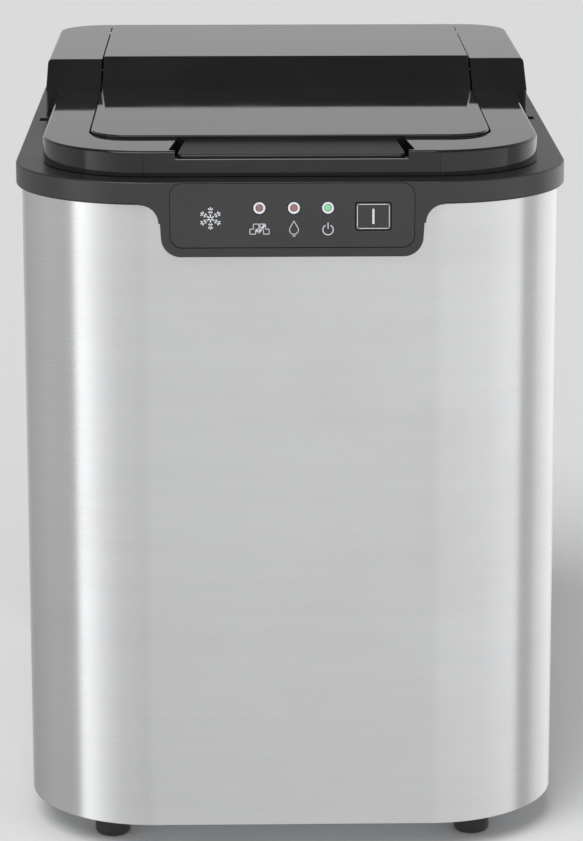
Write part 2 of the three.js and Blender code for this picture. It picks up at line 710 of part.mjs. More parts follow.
// One of the two infrared eyes that see the heap of ice.
function iceSensor() {
  return join(rodX(5, -SENSOR + 0.3, SENSOR - 0.3, 0, 0, 14), rodX(2.5, -SENSOR, SENSOR, 0, 0, 10));
}

// ---------------------------------------------------------------------------------------------
// Freezing unit. Its pieces are drawn round the tray's axis, which is the X axis of their group.

const TRAY_PIN = 2;
const HUB = 8;
const COLD_TOP = 11;
const TUBE_FRONT = -10;
const TUBE_LOW = COLD_TOP + 2;
const TUBE_HIGH = COLD_TOP + 14;
const TUBE_X = 9 - TANK_HALF;
const TUBE_END_Y = TANK_REAR_Y + TANK_WALL + 4 - TRAY_Y;
const TUBE_ENDS = { inlet: COLD_TOP - 4, outlet: COLD_TOP + 5 };

function freezingTray() {
  const section = (outer, inner) =>
    new THREE.Shape([...arc(outer, 200, 340, 14), ...arc(inner, 340, 200, 14)].map(([y, z]) =>
      new THREE.Vector2(y, z)));
  const fan = new THREE.Shape([[0, 0], ...arc(TRAY_RADIUS, 200, 340, 14)].map(([y, z]) =>
    new THREE.Vector2(y, z)));
  const trough = across(section(TRAY_RADIUS, TRAY_RADIUS - TRAY_WALL), -TRAY_HALF, TRAY_HALF);
  const ends = [-TRAY_HALF - TRAY_WALL, TRAY_HALF].map((x) => across(fan, x, x + TRAY_WALL));
  const hubs = [-TRAY_HALF - 4, TRAY_HALF].map((x) => rodX(HUB, x, x + 4));
  return cut(
    join(trough, ...ends, ...hubs),
    rodX(TRAY_PIN + RUN, -TRAY_HALF - 5, 1 - TRAY_HALF, 0, 0, 12),
    rodX(SHAFT_RADIUS + FIT, TRAY_HALF - 1, TRAY_HALF + 5, 0, 0, 12),
  );
}

// The cold block with its nine fingers, and the pipe that runs over it and out at the rear.
function evaporator() {
  const plate = block(-58, 58, -13, 13, 3, COLD_TOP);
  const tip = [[0, -FINGER_TIP], [3.4, 1 - FINGER_TIP], [FINGER_RADIUS, 5 - FINGER_TIP]];
  const finger = (x, y) =>
    turned([...tip, [FINGER_RADIUS, 4], [0, 4]], 8)
      .translate(x, y, 0);
  const fingers = [
    ...row(5, -2 * FINGER_PITCH, FINGER_PITCH).map((x) => finger(x, -7)),
    ...row(4, -1.5 * FINGER_PITCH, FINGER_PITCH).map((x) => finger(x, 7)),
  ];
  const run = pipe(
    [
      [TUBE_X, TUBE_END_Y, TUBE_ENDS.inlet],
      [TUBE_X, TUBE_FRONT + 20, TUBE_ENDS.inlet],
      [TUBE_X, TUBE_FRONT, TUBE_LOW],
      [52, TUBE_FRONT, TUBE_LOW],
      [52, TUBE_FRONT, TUBE_HIGH],
      [TUBE_X, TUBE_FRONT, TUBE_HIGH],
      [TUBE_X, TUBE_FRONT + 24, TUBE_HIGH],
      [TUBE_X, TUBE_END_Y - 18, TUBE_ENDS.outlet],
      [TUBE_X, TUBE_END_Y, TUBE_ENDS.outlet],
    ],
    PIPE,
    5,
  );
  return join(plate, ...fingers, run);
}

function evaporatorBracket() {
  const beam = block(FIT - TANK_HALF, TANK_HALF - FIT, -4, 3, COLD_TOP + 7, COLD_TOP + 10);
  const hangers = [-40, 40].map((x) => block(x - 3, x + 3, -4, 3, COLD_TOP + FIT, COLD_TOP + 8));
  const tabs = [FIT - TANK_HALF, TANK_HALF - FIT - 2].map((x) =>
    block(x, x + 2, -8, 7, COLD_TOP, COLD_TOP + 10));
  return join(beam, ...hangers, ...tabs);
}

const MOTOR_FACE = TANK_HALF + TANK_WALL + 1.8;

function trayMotor() {
  const box = block(MOTOR_FACE, MOTOR_FACE + 22, -18, 18, -18, 18);
  const ears = block(MOTOR_FACE, MOTOR_FACE + 3, -24, 24, -6, 6);
  return cut(join(box, ears), rodX(SHAFT_RADIUS + RUN, MOTOR_FACE - 1, MOTOR_FACE + 14, 0, 0, 12));
}

function trayShaft() {
  return rodX(SHAFT_RADIUS, TRAY_HALF - 1, MOTOR_FACE + 12, 0, 0, 12);
}

function trayPin() {
  return rodX(TRAY_PIN, -TANK_HALF - TANK_WALL + 0.2, 0.5 - TRAY_HALF, 0, 0, 12);
}

// ---------------------------------------------------------------------------------------------
// Ice chute, shovel, pump and float, in the tank behind the basket.

const SHOVEL_Y = BASKET_REAR_Y + 11;
const PUMP_X = 21 - TANK_HALF;
const PUMP_Y = TANK_REAR_Y - 33;
const HOSE_BORE = 3.5;
const HOSE_X = 7 - TANK_HALF;
const FLOAT_X = 60;
const FLOAT_Y = TANK_REAR_Y - 27;
const FLOAT_TRAVEL = 18;
const FLOAT_LOW = TANK_FLOOR + 2;
const FLOAT_TALL = 12;

function iceChute() {
  const rear = TANK_REAR_Y - 6;
  const front = BASKET_REAR_Y + 4;
  const plate = block(14 - TANK_HALF, TANK_HALF - 6, front, rear, CHUTE_TOP - CHUTE, CHUTE_TOP);
  const tabs = block(FIT - TANK_HALF, TANK_HALF - FIT, front, front + 14, CHUTE_TOP - CHUTE, CHUTE_TOP);
  const lip = block(14 - TANK_HALF, TANK_HALF - 6, rear - 2, rear, CHUTE_TOP - 1, CHUTE_TOP + 8);
  const slots = row(6, BASKET_REAR_Y + 24, 15).flatMap((y) =>
    [-30, 30].map((x) => block(x - 25, x + 25, y, y + 5, CHUTE_TOP - 5, CHUTE_TOP + 1)));
  return cut(join(plate, tabs, lip), ...slots);
}

function iceShovel() {
  const low = CHUTE_TOP + FIT;
  const blade = block(-64, 64, SHOVEL_Y - 2, SHOVEL_Y + 2, low, low + SHOVEL_HEIGHT - FIT);
  const ribs = row(5, -50, 25).map((x) =>
    block(x - 1, x + 1, SHOVEL_Y + 1, SHOVEL_Y + 9, CHUTE_TOP + FIT, CHUTE_TOP + FIT + 7));
  return join(blade, ...ribs);
}

function waterPump() {
  const x = PUMP_X;
  const y = PUMP_Y;
  const body = block(x - 17, x + 17, y - 17, y + 17, TANK_FLOOR + FIT, TANK_FLOOR + 24);
  const head = rodZ(12, TANK_FLOOR + 23, TANK_FLOOR + 27, x, y, 16);
  const spout = rodZ(HOSE_BORE, TANK_FLOOR + 26, TANK_FLOOR + 30, x, y, 10);
  return join(body, head, spout);
}

// Rises from the pump and ends over the trough, inside the tray's front edge.
function pumpHose() {
  const start = TANK_FLOOR + 30 + FIT;
  const points = [
    [PUMP_X, PUMP_Y, start],
    [PUMP_X, PUMP_Y, start + 16],
    [HOSE_X, PUMP_Y, start + 26],
    [HOSE_X, PUMP_Y, TRAY_Z - 20],
    [HOSE_X, TRAY_Y - 24, TRAY_Z - 12],
    [HOSE_X, TRAY_Y - 24, TRAY_Z + 2],
    [6 - TRAY_HALF, TRAY_Y - 24, TRAY_Z + 2],
  ];
  return pipe(points, HOSE_BORE, 5);
}

function floatStem() {
  const top = FLOAT_LOW + FLOAT_TRAVEL + FLOAT_TALL + 1;
  const profile = [[0, TANK_FLOOR + FIT], [8, TANK_FLOOR + FIT], [8, FLOAT_LOW - 0.4], [3, FLOAT_LOW - 0.4],
    [3, top], [5, top], [5, top + 2], [0, top + 2]];
  return turned(profile, 14);
}

function floatRing() {
  const low = FLOAT_LOW;
  const high = low + FLOAT_TALL;
  const side = [[9, low], [10, low + 1], [10, high - 1], [9, high]];
  return turned([[3.6, low], ...side, [3.6, high], [3.6, low]], 18);
}

// ---------------------------------------------------------------------------------------------
// Machine room: compressor, condenser, fan, refrigerant lines, drain and main board.

const COMPRESSOR_X = 59 - WIDTH / 2;
const COMPRESSOR_Y = REAR - 88;
const GROMMET = 6;
const BASE_Z = PAN_TOP + GROMMET + 2 * FIT;
const BASE_SHEET = 3;
const COMPRESSOR_Z = BASE_Z + BASE_SHEET + FIT;
const SEAM = 1.5; // how far the welded seam stands out of the compressor's shell
const CONDENSER_Y = REAR - 78;
const CONDENSER_HALF = SHROUD / 2;
const HEADER = 28.5; // height of the condenser's ends above and below its middle
const FAN_MOTOR = 18;
const SPIDER_Y = CONDENSER_Y + 32;
const SHROUD_DEPTH = 22;
const FAN_SHAFT = 1.8;
const BLADES = 5;
const DRIER_X = -2;
const DRIER_Y = COMPRESSOR_Y - 25;
const DRIER_Z = FOOT_HEIGHT + 47;
const DRIER_TALL = 65;
const CAPILLARY = 1.5;
const GROMMETS = {
  compressor_grommet_left: [-38, -38],
  compressor_grommet_right: [38, -38],
  compressor_grommet_rear: [0, 40],
};

function compressor() {
  const r = COMPRESSOR_RADIUS - SEAM;
  const top = COMPRESSOR_TALL;
  const profile = [[0, 0], [r - 9, 0], [r, 9], [r, 44], [r + SEAM, 44], [r + SEAM, 48], [r, 48],
    [r, top - 20], [r - 5, top - 9], [r - 17, top - 2], [0, top]];
  return turned(profile, 24);
}

function compressorBase() {
  return slab(rectangle(-47, 47, -48, 48, 8), 0, BASE_SHEET);
}

function grommet() {
  const profile = [[0, 0], [7, 0], [7, 2], [5.5, 3], [7, 4], [7, GROMMET], [0, GROMMET]];
  return turned(profile, 14);
}

function terminalCover() {
  const y = -COMPRESSOR_RADIUS - FIT;
  return join(block(-18, 18, y - 13, y, 34, 66), block(-7, 7, y - 16, y - 12, 40, 60));
}

// Flat fins on three tubes, with a header at each end.
function condenser() {
  const half = CONDENSER_HALF;
  const fins = row(7, 8 - half, 12.5).map((x) => block(x, x + 1, -12, 12, 1 - half, half - 1));
  const tubes = [-HEADER, 0, HEADER].map((z) => rodX(4, 3 - half, half - 3, 0, z, 6));
  const headers = [-half, half - 4].map((x) => block(x, x + 4, -6, 6, -HEADER - 6, HEADER + 6));
  return join(...headers, ...tubes, ...fins);
}

function fanMotor() {
  const case_ = rodY(FAN_MOTOR, 14, 31.6, 0, 0, 24);
  return cut(case_, rodY(FAN_SHAFT + RUN, 20, 33, 0, 0, 12));
}

function fanShroud() {
  const y0 = SPIDER_Y - CONDENSER_Y;
  const bore = FAN_RADIUS + 2.5;
  const box = block(-SHROUD / 2, SHROUD / 2, y0, y0 + SHROUD_DEPTH, -SHROUD / 2, SHROUD / 2);
  const arms = [45, 135].map((angle) =>
    block(-bore - 2, bore + 2, y0 - 1, y0 + 4, -3, 3).rotateY(degrees(angle)));
  const seat = rodY(FAN_MOTOR - 4, y0 - 2, y0 + 5, 0, 0, 20);
  const window = cut(rodY(bore, y0 - 1, y0 + 4, 0, 0, 32), ...arms, seat);
  const tunnel = rodY(bore, y0 + 3, y0 + SHROUD_DEPTH + 1, 0, 0, 32);
  return cut(box, window, tunnel, rodY(FAN_SHAFT + RUN, y0 - 2, y0 + 5, 0, 0, 12));
}

function fanBlade() {
  const middle = SPIDER_Y - CONDENSER_Y + SHROUD_DEPTH / 2 + 1;
  const hub = rodY(11, middle - 7, middle + 7, 0, 0, 20);
  const shaft = rodY(FAN_SHAFT, 22, middle, 0, 0, 12);
  const blades = row(BLADES, 0, 360 / BLADES).map((angle) =>
    block(9, FAN_RADIUS - 1.5, -0.8, 0.8, -9, 9)
      .rotateX(degrees(35))
      .translate(0, middle, 0)
      .rotateY(degrees(angle)));
  return join(hub, shaft, ...blades);
}

function filterDrier() {
  const end = DRIER_TALL;
  return turned([[0, 0], [3, 0], [8, 8], [8, end - 8], [3, end], [0, end]], 16);
}

function dischargeLine() {
  const z = FAN_Z + HEADER;
  const y = COMPRESSOR_Y - 6;
  const stop = FAN_X - CONDENSER_HALF - FIT;
  const start = COMPRESSOR_X + COMPRESSOR_RADIUS - SEAM + FIT;
  const turn = start + 9;
  return pipe([[start, y, z], [turn, y, z], [turn, CONDENSER_Y, z], [stop, CONDENSER_Y, z]], PIPE, 4);
}

function liquidLine() {
  const z = FAN_Z - HEADER;
  const start = FAN_X - CONDENSER_HALF - FIT;
  const x = DRIER_X;
  const rise = [[x, DRIER_Y, z], [x, DRIER_Y, DRIER_Z - FIT]];
  return pipe([[start, CONDENSER_Y, z], [x, CONDENSER_Y, z], ...rise], PIPE, 5);
}

function capillaryLine() {
  const y = FRAME_REAR - 21;
  const z = COMPRESSOR_Z + COMPRESSOR_TALL + CAPILLARY + 0.8;
  const inlet = TRAY_Z + TUBE_ENDS.inlet;
  const points = [
    [TUBE_X, TRAY_Y + TUBE_END_Y + FIT, inlet],
    [TUBE_X, y, inlet],
    [TUBE_X + 14, y, inlet],
    [TUBE_X + 14, y, inlet - 60],
    [DRIER_X - 8, y, z + 20],
    [DRIER_X - 8, y, z],
    [DRIER_X - 8, DRIER_Y, z],
    [DRIER_X, DRIER_Y, z],
    [DRIER_X, DRIER_Y, DRIER_Z + DRIER_TALL + FIT],
  ];
  return pipe(points, CAPILLARY, 3, 6);
}

function suctionLine() {
  const y = FRAME_REAR - 10;
  const outlet = TRAY_Z + TUBE_ENDS.outlet;
  const z = FOOT_HEIGHT + 77;
  const points = [
    [TUBE_X, TRAY_Y + TUBE_END_Y + FIT, outlet],
    [TUBE_X, y, outlet],
    [TUBE_X, y, z],
    [TUBE_X, COMPRESSOR_Y + COMPRESSOR_RADIUS - SEAM + FIT, z],
  ];
  return pipe(points, PIPE, 6);
}

const SOCKET_Y = REAR - 19;

function drainHose() {
  const points = [[0, DRAIN_Y, TANK_BOTTOM - FIT], [0, DRAIN_Y, DRAIN_Z], [0, SOCKET_Y + 1, DRAIN_Z]];
  const socket = rodY(7, SOCKET_Y, SOCKET_Y + 12, 0, DRAIN_Z, 20);
  const bore = rodY(4, SOCKET_Y + 3, SOCKET_Y + 13, 0, DRAIN_Z, 16);
  return cut(join(pipe(points, HOSE_RADIUS, 12), socket), bore);
}

function drainPlug() {
  const face = SOCKET_Y + 12 + FIT;
  const shank = rodY(4 - RUN, face - 6, face + 1, 0, 0, 16);
  const head = rodY(DRAIN_HEAD, face, face + 5.5, 0, 0, 24);
  const slot = block(-6, 6, face + 4, face + 6, -1, 1);
  return cut(join(shank, head), slot);
}

function mainBoard() {
  const front = FRONT + 30;
  const low = FOOT_HEIGHT + 27;
  const board = block(-60, 60, front, front + BOARD, low, low + 70);
  const legs = [-52, 44].map((x) => block(x, x + 8, front - 4, front + 1, PAN_TOP + FIT, low + 66));
  const transformer = block(-50, -18, front + 1, front + 27, low + 8, low + 40);
  const relays = row(3, -6, 21).map((x) => block(x, x + 16, front + 1, front + 17, low + 40, low + 62));
  const capacitors = row(2, 6, 24).map((x) => rodY(8, front + 1, front + 24, x, low + 18, 14));
  return join(board, ...legs, transformer, ...relays, ...capacitors);
}

// ---------------------------------------------------------------------------------------------
// Assembly.

const BLACK = 0x17181a;
const DARK = 0x26272a;
const STEEL = 0xb9babb;
const GREY = 0x8a8c8e;
const WHITE = 0xe9ebea;
const COPPER = 0xb86f4b;

function group(x, y, z, ...meshes) {
  const holder = new THREE.Group();
  holder.position.set(x, y, z);
  return holder.add(...meshes);
}

const feet = Object.entries(FEET).map(([name, [x, y]]) => placed(part(name, foot(), DARK, 0.85), x, y, 0));

const screws = ["lower", "upper"].flatMap((level, i) =>
  [["left", -SCREW_X], ["right", SCREW_X]].map(([side, x]) =>
    placed(part(`rear_screw_${level}_${side}`, rearScrew(), GREY, 0.35, 1), x, 0, SCREW_HEIGHTS[i])));

const cabinet = group(0, 0, 0,
  part("body_wrap", bodyWrap(), STEEL, 0.32, 1),
  part("base_pan", basePan(), GREY, 0.5, 0.8),
  part("rear_panel", rearPanel(), BLACK, 0.55),
  part("top_frame", topFrame(), BLACK, 0.3),
  part("top_cover", topCover(), BLACK, 0.15),
  placed(part("cord_gland", cordGland(), DARK, 0.6), GLAND_X, 0, DRAIN_Z),
  ...feet,
  ...screws,
);

const lights = Object.entries(LIGHTS).map(([name, x]) =>
  placed(part(name, indicator(), WHITE, 0.3), x, 0, LIGHT_Z));

const controls = group(0, 0, 0,
  part("control_label", controlLabel(), 0x3a3b3f, 0.4),
  part("power_button", powerButton(), 0x3a3b3f, 0.4),
  part("control_board", controlBoard(), 0x1f5a33, 0.6),
  ...lights,
);

const lid = group(0, 0, 0,
  part("lid_shell", lidShell(), BLACK, 0.1),
  part("lid_liner", lidLiner(), DARK, 0.4),
  part("lid_handle", lidHandle(), BLACK, 0.3),
);

const pins = [["lid_pin_left", -1], ["lid_pin_right", 1]].map(([name, side]) =>
  placed(part(name, rodX(PIN_RADIUS, -PIN_LENGTH / 2, PIN_LENGTH / 2, 0, 0, 12), GREY, 0.3, 1),
    side * (LID_HALF + 4.5 - PIN_LENGTH / 2), HINGE_Y, HINGE_Z));

const SENSOR_X = TANK_HALF - FIT - SENSOR;
const sensors = [["ice_sensor_left", -1], ["ice_sensor_right", 1]].map(([name, side]) =>
  placed(part(name, iceSensor(), DARK, 0.4), side * SENSOR_X, BASKET_REAR_Y - 38, RIM_TOP - 24));

const tank = group(0, 0, 0,
  part("water_tank", waterTank(), WHITE, 0.35),
  part("ice_basket", iceBasket(), 0xd5dde2, 0.25),
  part("ice_chute", iceChute(), WHITE, 0.4),
  part("ice_shovel", iceShovel(), 0xd8dadb, 0.4),
  part("water_pump", waterPump(), DARK, 0.5),
  part("pump_hose", pumpHose(), 0xdfe3e5, 0.4),
  placed(part("float_stem", floatStem(), WHITE, 0.4), FLOAT_X, FLOAT_Y, 0),
  placed(part("float_ring", floatRing(), 0xf2f2ee, 0.5), FLOAT_X, FLOAT_Y, 0),
  ...sensors,
);

const freezing = group(0, TRAY_Y, TRAY_Z,
  part("freezing_tray", freezingTray(), WHITE, 0.35),
  part("evaporator", evaporator(), 0xb9b9b4, 0.3, 1),
  part("evaporator_bracket", evaporatorBracket(), STEEL, 0.35, 1),
  part("tray_motor", trayMotor(), DARK, 0.5),
  part("tray_shaft", trayShaft(), GREY, 0.3, 1),
  part("tray_pin", trayPin(), GREY, 0.3, 1),
);

const grommets = Object.entries(GROMMETS).map(([name, [x, y]]) =>
  placed(part(name, grommet(), DARK, 0.9), x, y, PAN_TOP + FIT));

const compressorUnit = group(COMPRESSOR_X, COMPRESSOR_Y, 0,
  placed(part("compressor", compressor(), BLACK, 0.45, 0.3), 0, 0, COMPRESSOR_Z),
  placed(part("compressor_base", compressorBase(), GREY, 0.5, 0.8), 0, 0, BASE_Z),
  placed(part("terminal_cover", terminalCover(), DARK, 0.6), 0, 0, COMPRESSOR_Z),
  ...grommets,
);

const fanUnit = group(FAN_X, CONDENSER_Y, FAN_Z,
  part("condenser", condenser(), 0xb9bcbe, 0.35, 1),
  part("fan_motor", fanMotor(), GREY, 0.4, 0.8),
  part("fan_shroud", fanShroud(), BLACK, 0.6),
  part("fan_blade", fanBlade(), 0xc9cccf, 0.45),
);

const lines = group(0, 0, 0,
  placed(part("filter_drier", filterDrier(), COPPER, 0.35, 1), DRIER_X, DRIER_Y, DRIER_Z),
  part("discharge_line", dischargeLine(), COPPER, 0.3, 1),
  part("liquid_line", liquidLine(), COPPER, 0.3, 1),
  part("capillary_line", capillaryLine(), COPPER, 0.3, 1),
  part("suction_line", suctionLine(), COPPER, 0.3, 1),
  part("drain_hose", drainHose(), 0xcfd3d6, 0.5),
  placed(part("drain_plug", drainPlug(), BLACK, 0.6), 0, 0, DRAIN_Z),
  part("main_board", mainBoard(), 0x1f5a33, 0.6),
);

const iceMaker = new THREE.Group();
iceMaker.add(cabinet, controls, lid, ...pins, tank, freezing, compressorUnit, fanUnit, lines);

export default iceMaker;
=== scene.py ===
import math

import bmesh
import bpy
from mathutils import Matrix, Vector


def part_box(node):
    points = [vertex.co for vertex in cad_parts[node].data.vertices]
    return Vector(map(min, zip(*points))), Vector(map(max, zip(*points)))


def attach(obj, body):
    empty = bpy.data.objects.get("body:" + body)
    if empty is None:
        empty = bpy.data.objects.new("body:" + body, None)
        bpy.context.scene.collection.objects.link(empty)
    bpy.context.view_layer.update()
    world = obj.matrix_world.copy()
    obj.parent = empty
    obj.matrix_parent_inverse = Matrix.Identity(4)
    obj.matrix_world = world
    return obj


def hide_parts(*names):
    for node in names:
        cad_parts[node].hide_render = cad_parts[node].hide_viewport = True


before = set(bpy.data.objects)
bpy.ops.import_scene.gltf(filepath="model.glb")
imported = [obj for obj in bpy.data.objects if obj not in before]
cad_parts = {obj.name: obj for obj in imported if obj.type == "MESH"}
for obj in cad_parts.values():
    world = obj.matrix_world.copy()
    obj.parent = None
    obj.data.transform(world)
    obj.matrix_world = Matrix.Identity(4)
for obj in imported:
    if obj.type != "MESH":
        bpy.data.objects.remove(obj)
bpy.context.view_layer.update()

# Camera: a long lens in front of the machine, a little to its left and looking down on the lid. It
# is shifted so that the machine fills the frame.
camera_data = bpy.data.cameras.new("camera")
camera_data.lens = 141.46
camera_data.shift_x = -0.03
camera_data.shift_y = -0.1082
camera = bpy.data.objects.new("camera", camera_data)
camera.location = (-0.0193, -1.5611, 0.5467)
camera.rotation_euler = (math.radians(90 - 12.56), 0, math.radians(-1.23))
bpy.context.scene.collection.objects.link(camera)
bpy.context.scene.camera = camera
bpy.context.scene.view_settings.view_transform = "Standard"

# Studio: a white surround that is bright near the horizon and dimmer overhead, with one bright strip
# to the left and a dark gap to the right, and a soft key light from the upper left.
world = bpy.data.worlds.new("studio")
bpy.context.scene.world = world
world.use_nodes = True
sky = world.node_tree
sky.nodes.clear()


def wire(tree, kind, *links, **settings):
    """A new node with its settings, and (socket, value or output) pairs for its inputs."""
    node = tree.nodes.new(kind)
    for key, value in settings.items():
        setattr(node, key, value)
    for socket, source in links:
        if isinstance(source, bpy.types.NodeSocket):
            tree.links.new(source, node.inputs[socket])
        else:
            node.inputs[socket].default_value = source
    return node


def maths(tree, operation, *values):
    """The result of a maths node on up to three values or sockets."""
    return wire(tree, "ShaderNodeMath", *enumerate(values), operation=operation).outputs[0]


look = wire(sky, "ShaderNodeTexCoord").outputs["Generated"]
axes = wire(sky, "ShaderNodeSeparateXYZ", (0, look)).outputs
# The bearing is 0 in front of the machine, positive to its right, in degrees.
DEGREES = 57.2958
forward = maths(sky, "MULTIPLY", axes[1], -1.0)
bearing = maths(sky, "MULTIPLY", maths(sky, "ARCTAN2", axes[0], forward), DEGREES)


def stepped(tree, value, stops):
    """A value that follows (place, level) stops, with places from 0 to 1 and levels up to 2."""
    ramp = wire(tree, "ShaderNodeValToRGB", (0, value))
    for number, (place, shine) in enumerate(stops):
        stop = ramp.color_ramp.elements[number] if number < 2 else ramp.color_ramp.elements.new(place)
        stop.position = place
        stop.color = (shine / 2, shine / 2, shine / 2, 1)
    level = wire(tree, "ShaderNodeSeparateColor", (0, ramp.outputs[0])).outputs[0]
    return maths(tree, "MULTIPLY", level, 2.0)


# Brightness of the studio's walls by bearing, from its left rear round to its right.
WALLS = ((-180, 0.66), (-165, 0.62), (-150, 0.46), (-136, 0.55), (-107, 0.7), (-75, 0.72), (-70, 2.0),
         (-62, 1.8), (-48, 1.3), (-32, 0.98), (-8, 0.9), (10, 1.16), (50, 1.22), (87, 1.4), (91, 0.72),
         (106, 0.72), (113, 1.0), (128, 1.2), (150, 1.25), (168, 0.66), (180, 0.66))
# And by the sine of the height that it is seen at, from straight down to straight up.
HEIGHTS = ((-1, 0.4), (-0.5, 0.5), (-0.38, 0.76), (-0.3, 0.97), (-0.2, 1.04), (0, 1.06), (0.2, 0.95),
           (0.5, 0.45), (0.75, 0.2), (1, 0.15))
walls = stepped(sky, maths(sky, "ADD", maths(sky, "DIVIDE", bearing, 360.0), 0.5),
                [(turn / 360 + 0.5, shine) for turn, shine in WALLS])
heights = stepped(sky, maths(sky, "ADD", maths(sky, "DIVIDE", axes[2], 2.0), 0.5),
                  [(rise / 2 + 0.5, shine) for rise, shine in HEIGHTS])
brightness = maths(sky, "MULTIPLY", walls, heights)
direct = wire(sky, "ShaderNodeLightPath").outputs["Is Camera Ray"]
seen = wire(sky, "ShaderNodeMix", ("Factor", direct), ("A", brightness), ("B", 1.0), data_type="FLOAT")
shine = wire(sky, "ShaderNodeBackground", ("Color", (1, 1, 1, 1)), ("Strength", seen.outputs[0]))
wire(sky, "ShaderNodeOutputWorld", ("Surface", shine.outputs[0]))

key_data = bpy.data.lights.new("key", "SUN")
key_data.energy = 1.6
key_data.angle = math.radians(40)
key = bpy.data.objects.new("key", key_data)
key.rotation_euler = (math.radians(32), 0, math.radians(-28))
bpy.context.scene.collection.objects.link(key)

# Floor: a wide pale sheet with a faint, even tooth. It is left out of glossy reflections, so that the
# steel mirrors the studio's walls down to its foot.


def finish(name, metallic=0.0, roughness=0.5, **sockets):
    """A new material with its surface shader, its tree and the place of each point on the object."""
    made = bpy.data.materials.new(name)
    made.use_nodes = True
    tree = made.node_tree
    surface = tree.nodes["Principled BSDF"]
    surface.inputs["Metallic"].default_value = metallic
    surface.inputs["Roughness"].default_value = roughness
    for label, value in sockets.items():
        surface.inputs[label.replace("_", " ")].default_value = value
    return made, tree, surface.inputs, wire(tree, "ShaderNodeTexCoord").outputs["Object"]


def blend(tree, factor, first, second):
    """A colour between two, each three numbers or a socket."""
    first, second = (end if isinstance(end, bpy.types.NodeSocket) else (*end, 1) for end in (first, second))
    mixed = wire(tree, "ShaderNodeMix", ("Factor", factor), (6, first), (7, second), data_type="RGBA")
    return mixed.outputs[2]


def noise(tree, place, scale, detail=2.0, **sockets):
    """Cloudy noise from 0 to 1."""
    links = [(0, place), ("Scale", scale), ("Detail", detail), *sockets.items()]
    return wire(tree, "ShaderNodeTexNoise", *links).outputs["Fac"]


def coat(tree, surface, colour, rough=None, height=None, strength=0.0, depth=0.0):
    """Feeds a surface its colour, its roughness and the height of its relief."""
    tree.links.new(colour, surface["Base Color"])
    if rough is not None:
        tree.links.new(rough, surface["Roughness"])
    if height is not None:
        rise = wire(tree, "ShaderNodeBump", ("Strength", strength), ("Distance", depth), ("Height", height))
        tree.links.new(rise.outputs[0], surface["Normal"])


bpy.ops.object.select_all(action="DESELECT")
bpy.ops.mesh.primitive_plane_add(size=24)
floor = bpy.context.object
floor.name = "floor"
floor_material, tree, surface, place = finish("pale_floor", roughness=0.8, Specular_IOR_Level=0.2)
tooth = noise(tree, place, 900.0, 3.0)
coat(tree, surface, blend(tree, tooth, (0.9, 0.9, 0.9), (0.94, 0.94, 0.94)), None, tooth, 0.05, 0.0004)
floor.data.materials.append(floor_material)
floor.visible_glossy = False

# Body wrap: one sheet of stainless steel, brushed round the machine and rolled at its four corners.
# It is open at the back for the rear panel, has louvres low on each side, and its top edge goes up
# inside the black rim.


def box(name, low, high):
    """A plain box between two corners, its place in its mesh."""
    low, high = Vector(low), Vector(high)
    bpy.ops.object.select_all(action="DESELECT")
    bpy.ops.mesh.primitive_cube_add(size=1, location=(low + high) / 2, scale=high - low)
    made = bpy.context.object
    made.name = name
    bpy.ops.object.transform_apply(location=True, rotation=True, scale=True)
    return made


def take(piece):
    """Selects one piece and nothing else."""
    bpy.ops.object.select_all(action="DESELECT")
    piece.select_set(True)
    bpy.context.view_layer.objects.active = piece


def round_edges(piece, radius, steps, chosen):
    """Rounds every edge whose middle and direction the test picks."""
    take(piece)
    bpy.ops.object.mode_set(mode="EDIT")
    bpy.ops.mesh.select_mode(type="EDGE")
    bpy.ops.mesh.select_all(action="DESELECT")
    mesh = bmesh.from_edit_mesh(piece.data)
    for edge in mesh.edges:
        start, end = (corner.co for corner in edge.verts)
        edge.select_set(bool(chosen((start + end) / 2, (end - start).normalized())))
    bmesh.update_edit_mesh(piece.data)
    bpy.ops.mesh.bevel(offset=radius, segments=steps, affect="EDGES")
    bpy.ops.object.mode_set(mode="OBJECT")
    return piece


def tub(name, low, high, front_radius, rear_radius, steps=18):
    """A box with its four upright corners rounded, the front pair and the rear pair each by a radius."""
    made = box(name, low, high)
    middle = (low[1] + high[1]) / 2
    round_edges(made, front_radius, steps, lambda at, way: abs(way.z) > 0.9 and at.y < middle)
    if rear_radius:
        round_edges(made, rear_radius, steps, lambda at, way: abs(way.z) > 0.9 and at.y > high[1] - 1e-4)
    return made


def shape(piece, operation, *tools):
    """Cuts the tools out of a piece, adds them or keeps what they share, and uses the tools up."""
    bpy.context.view_layer.objects.active = piece
    for tool in tools:
        cutter = piece.modifiers.new("shape", "BOOLEAN")
        cutter.operation = operation
        cutter.solver = "EXACT"
        cutter.object = tool
        bpy.ops.object.modifier_apply(modifier=cutter.name)
        bpy.data.objects.remove(tool)
    return piece


def cut(piece, *tools):
    """Cuts the tools out of a piece."""
    return shape(piece, "DIFFERENCE", *tools)


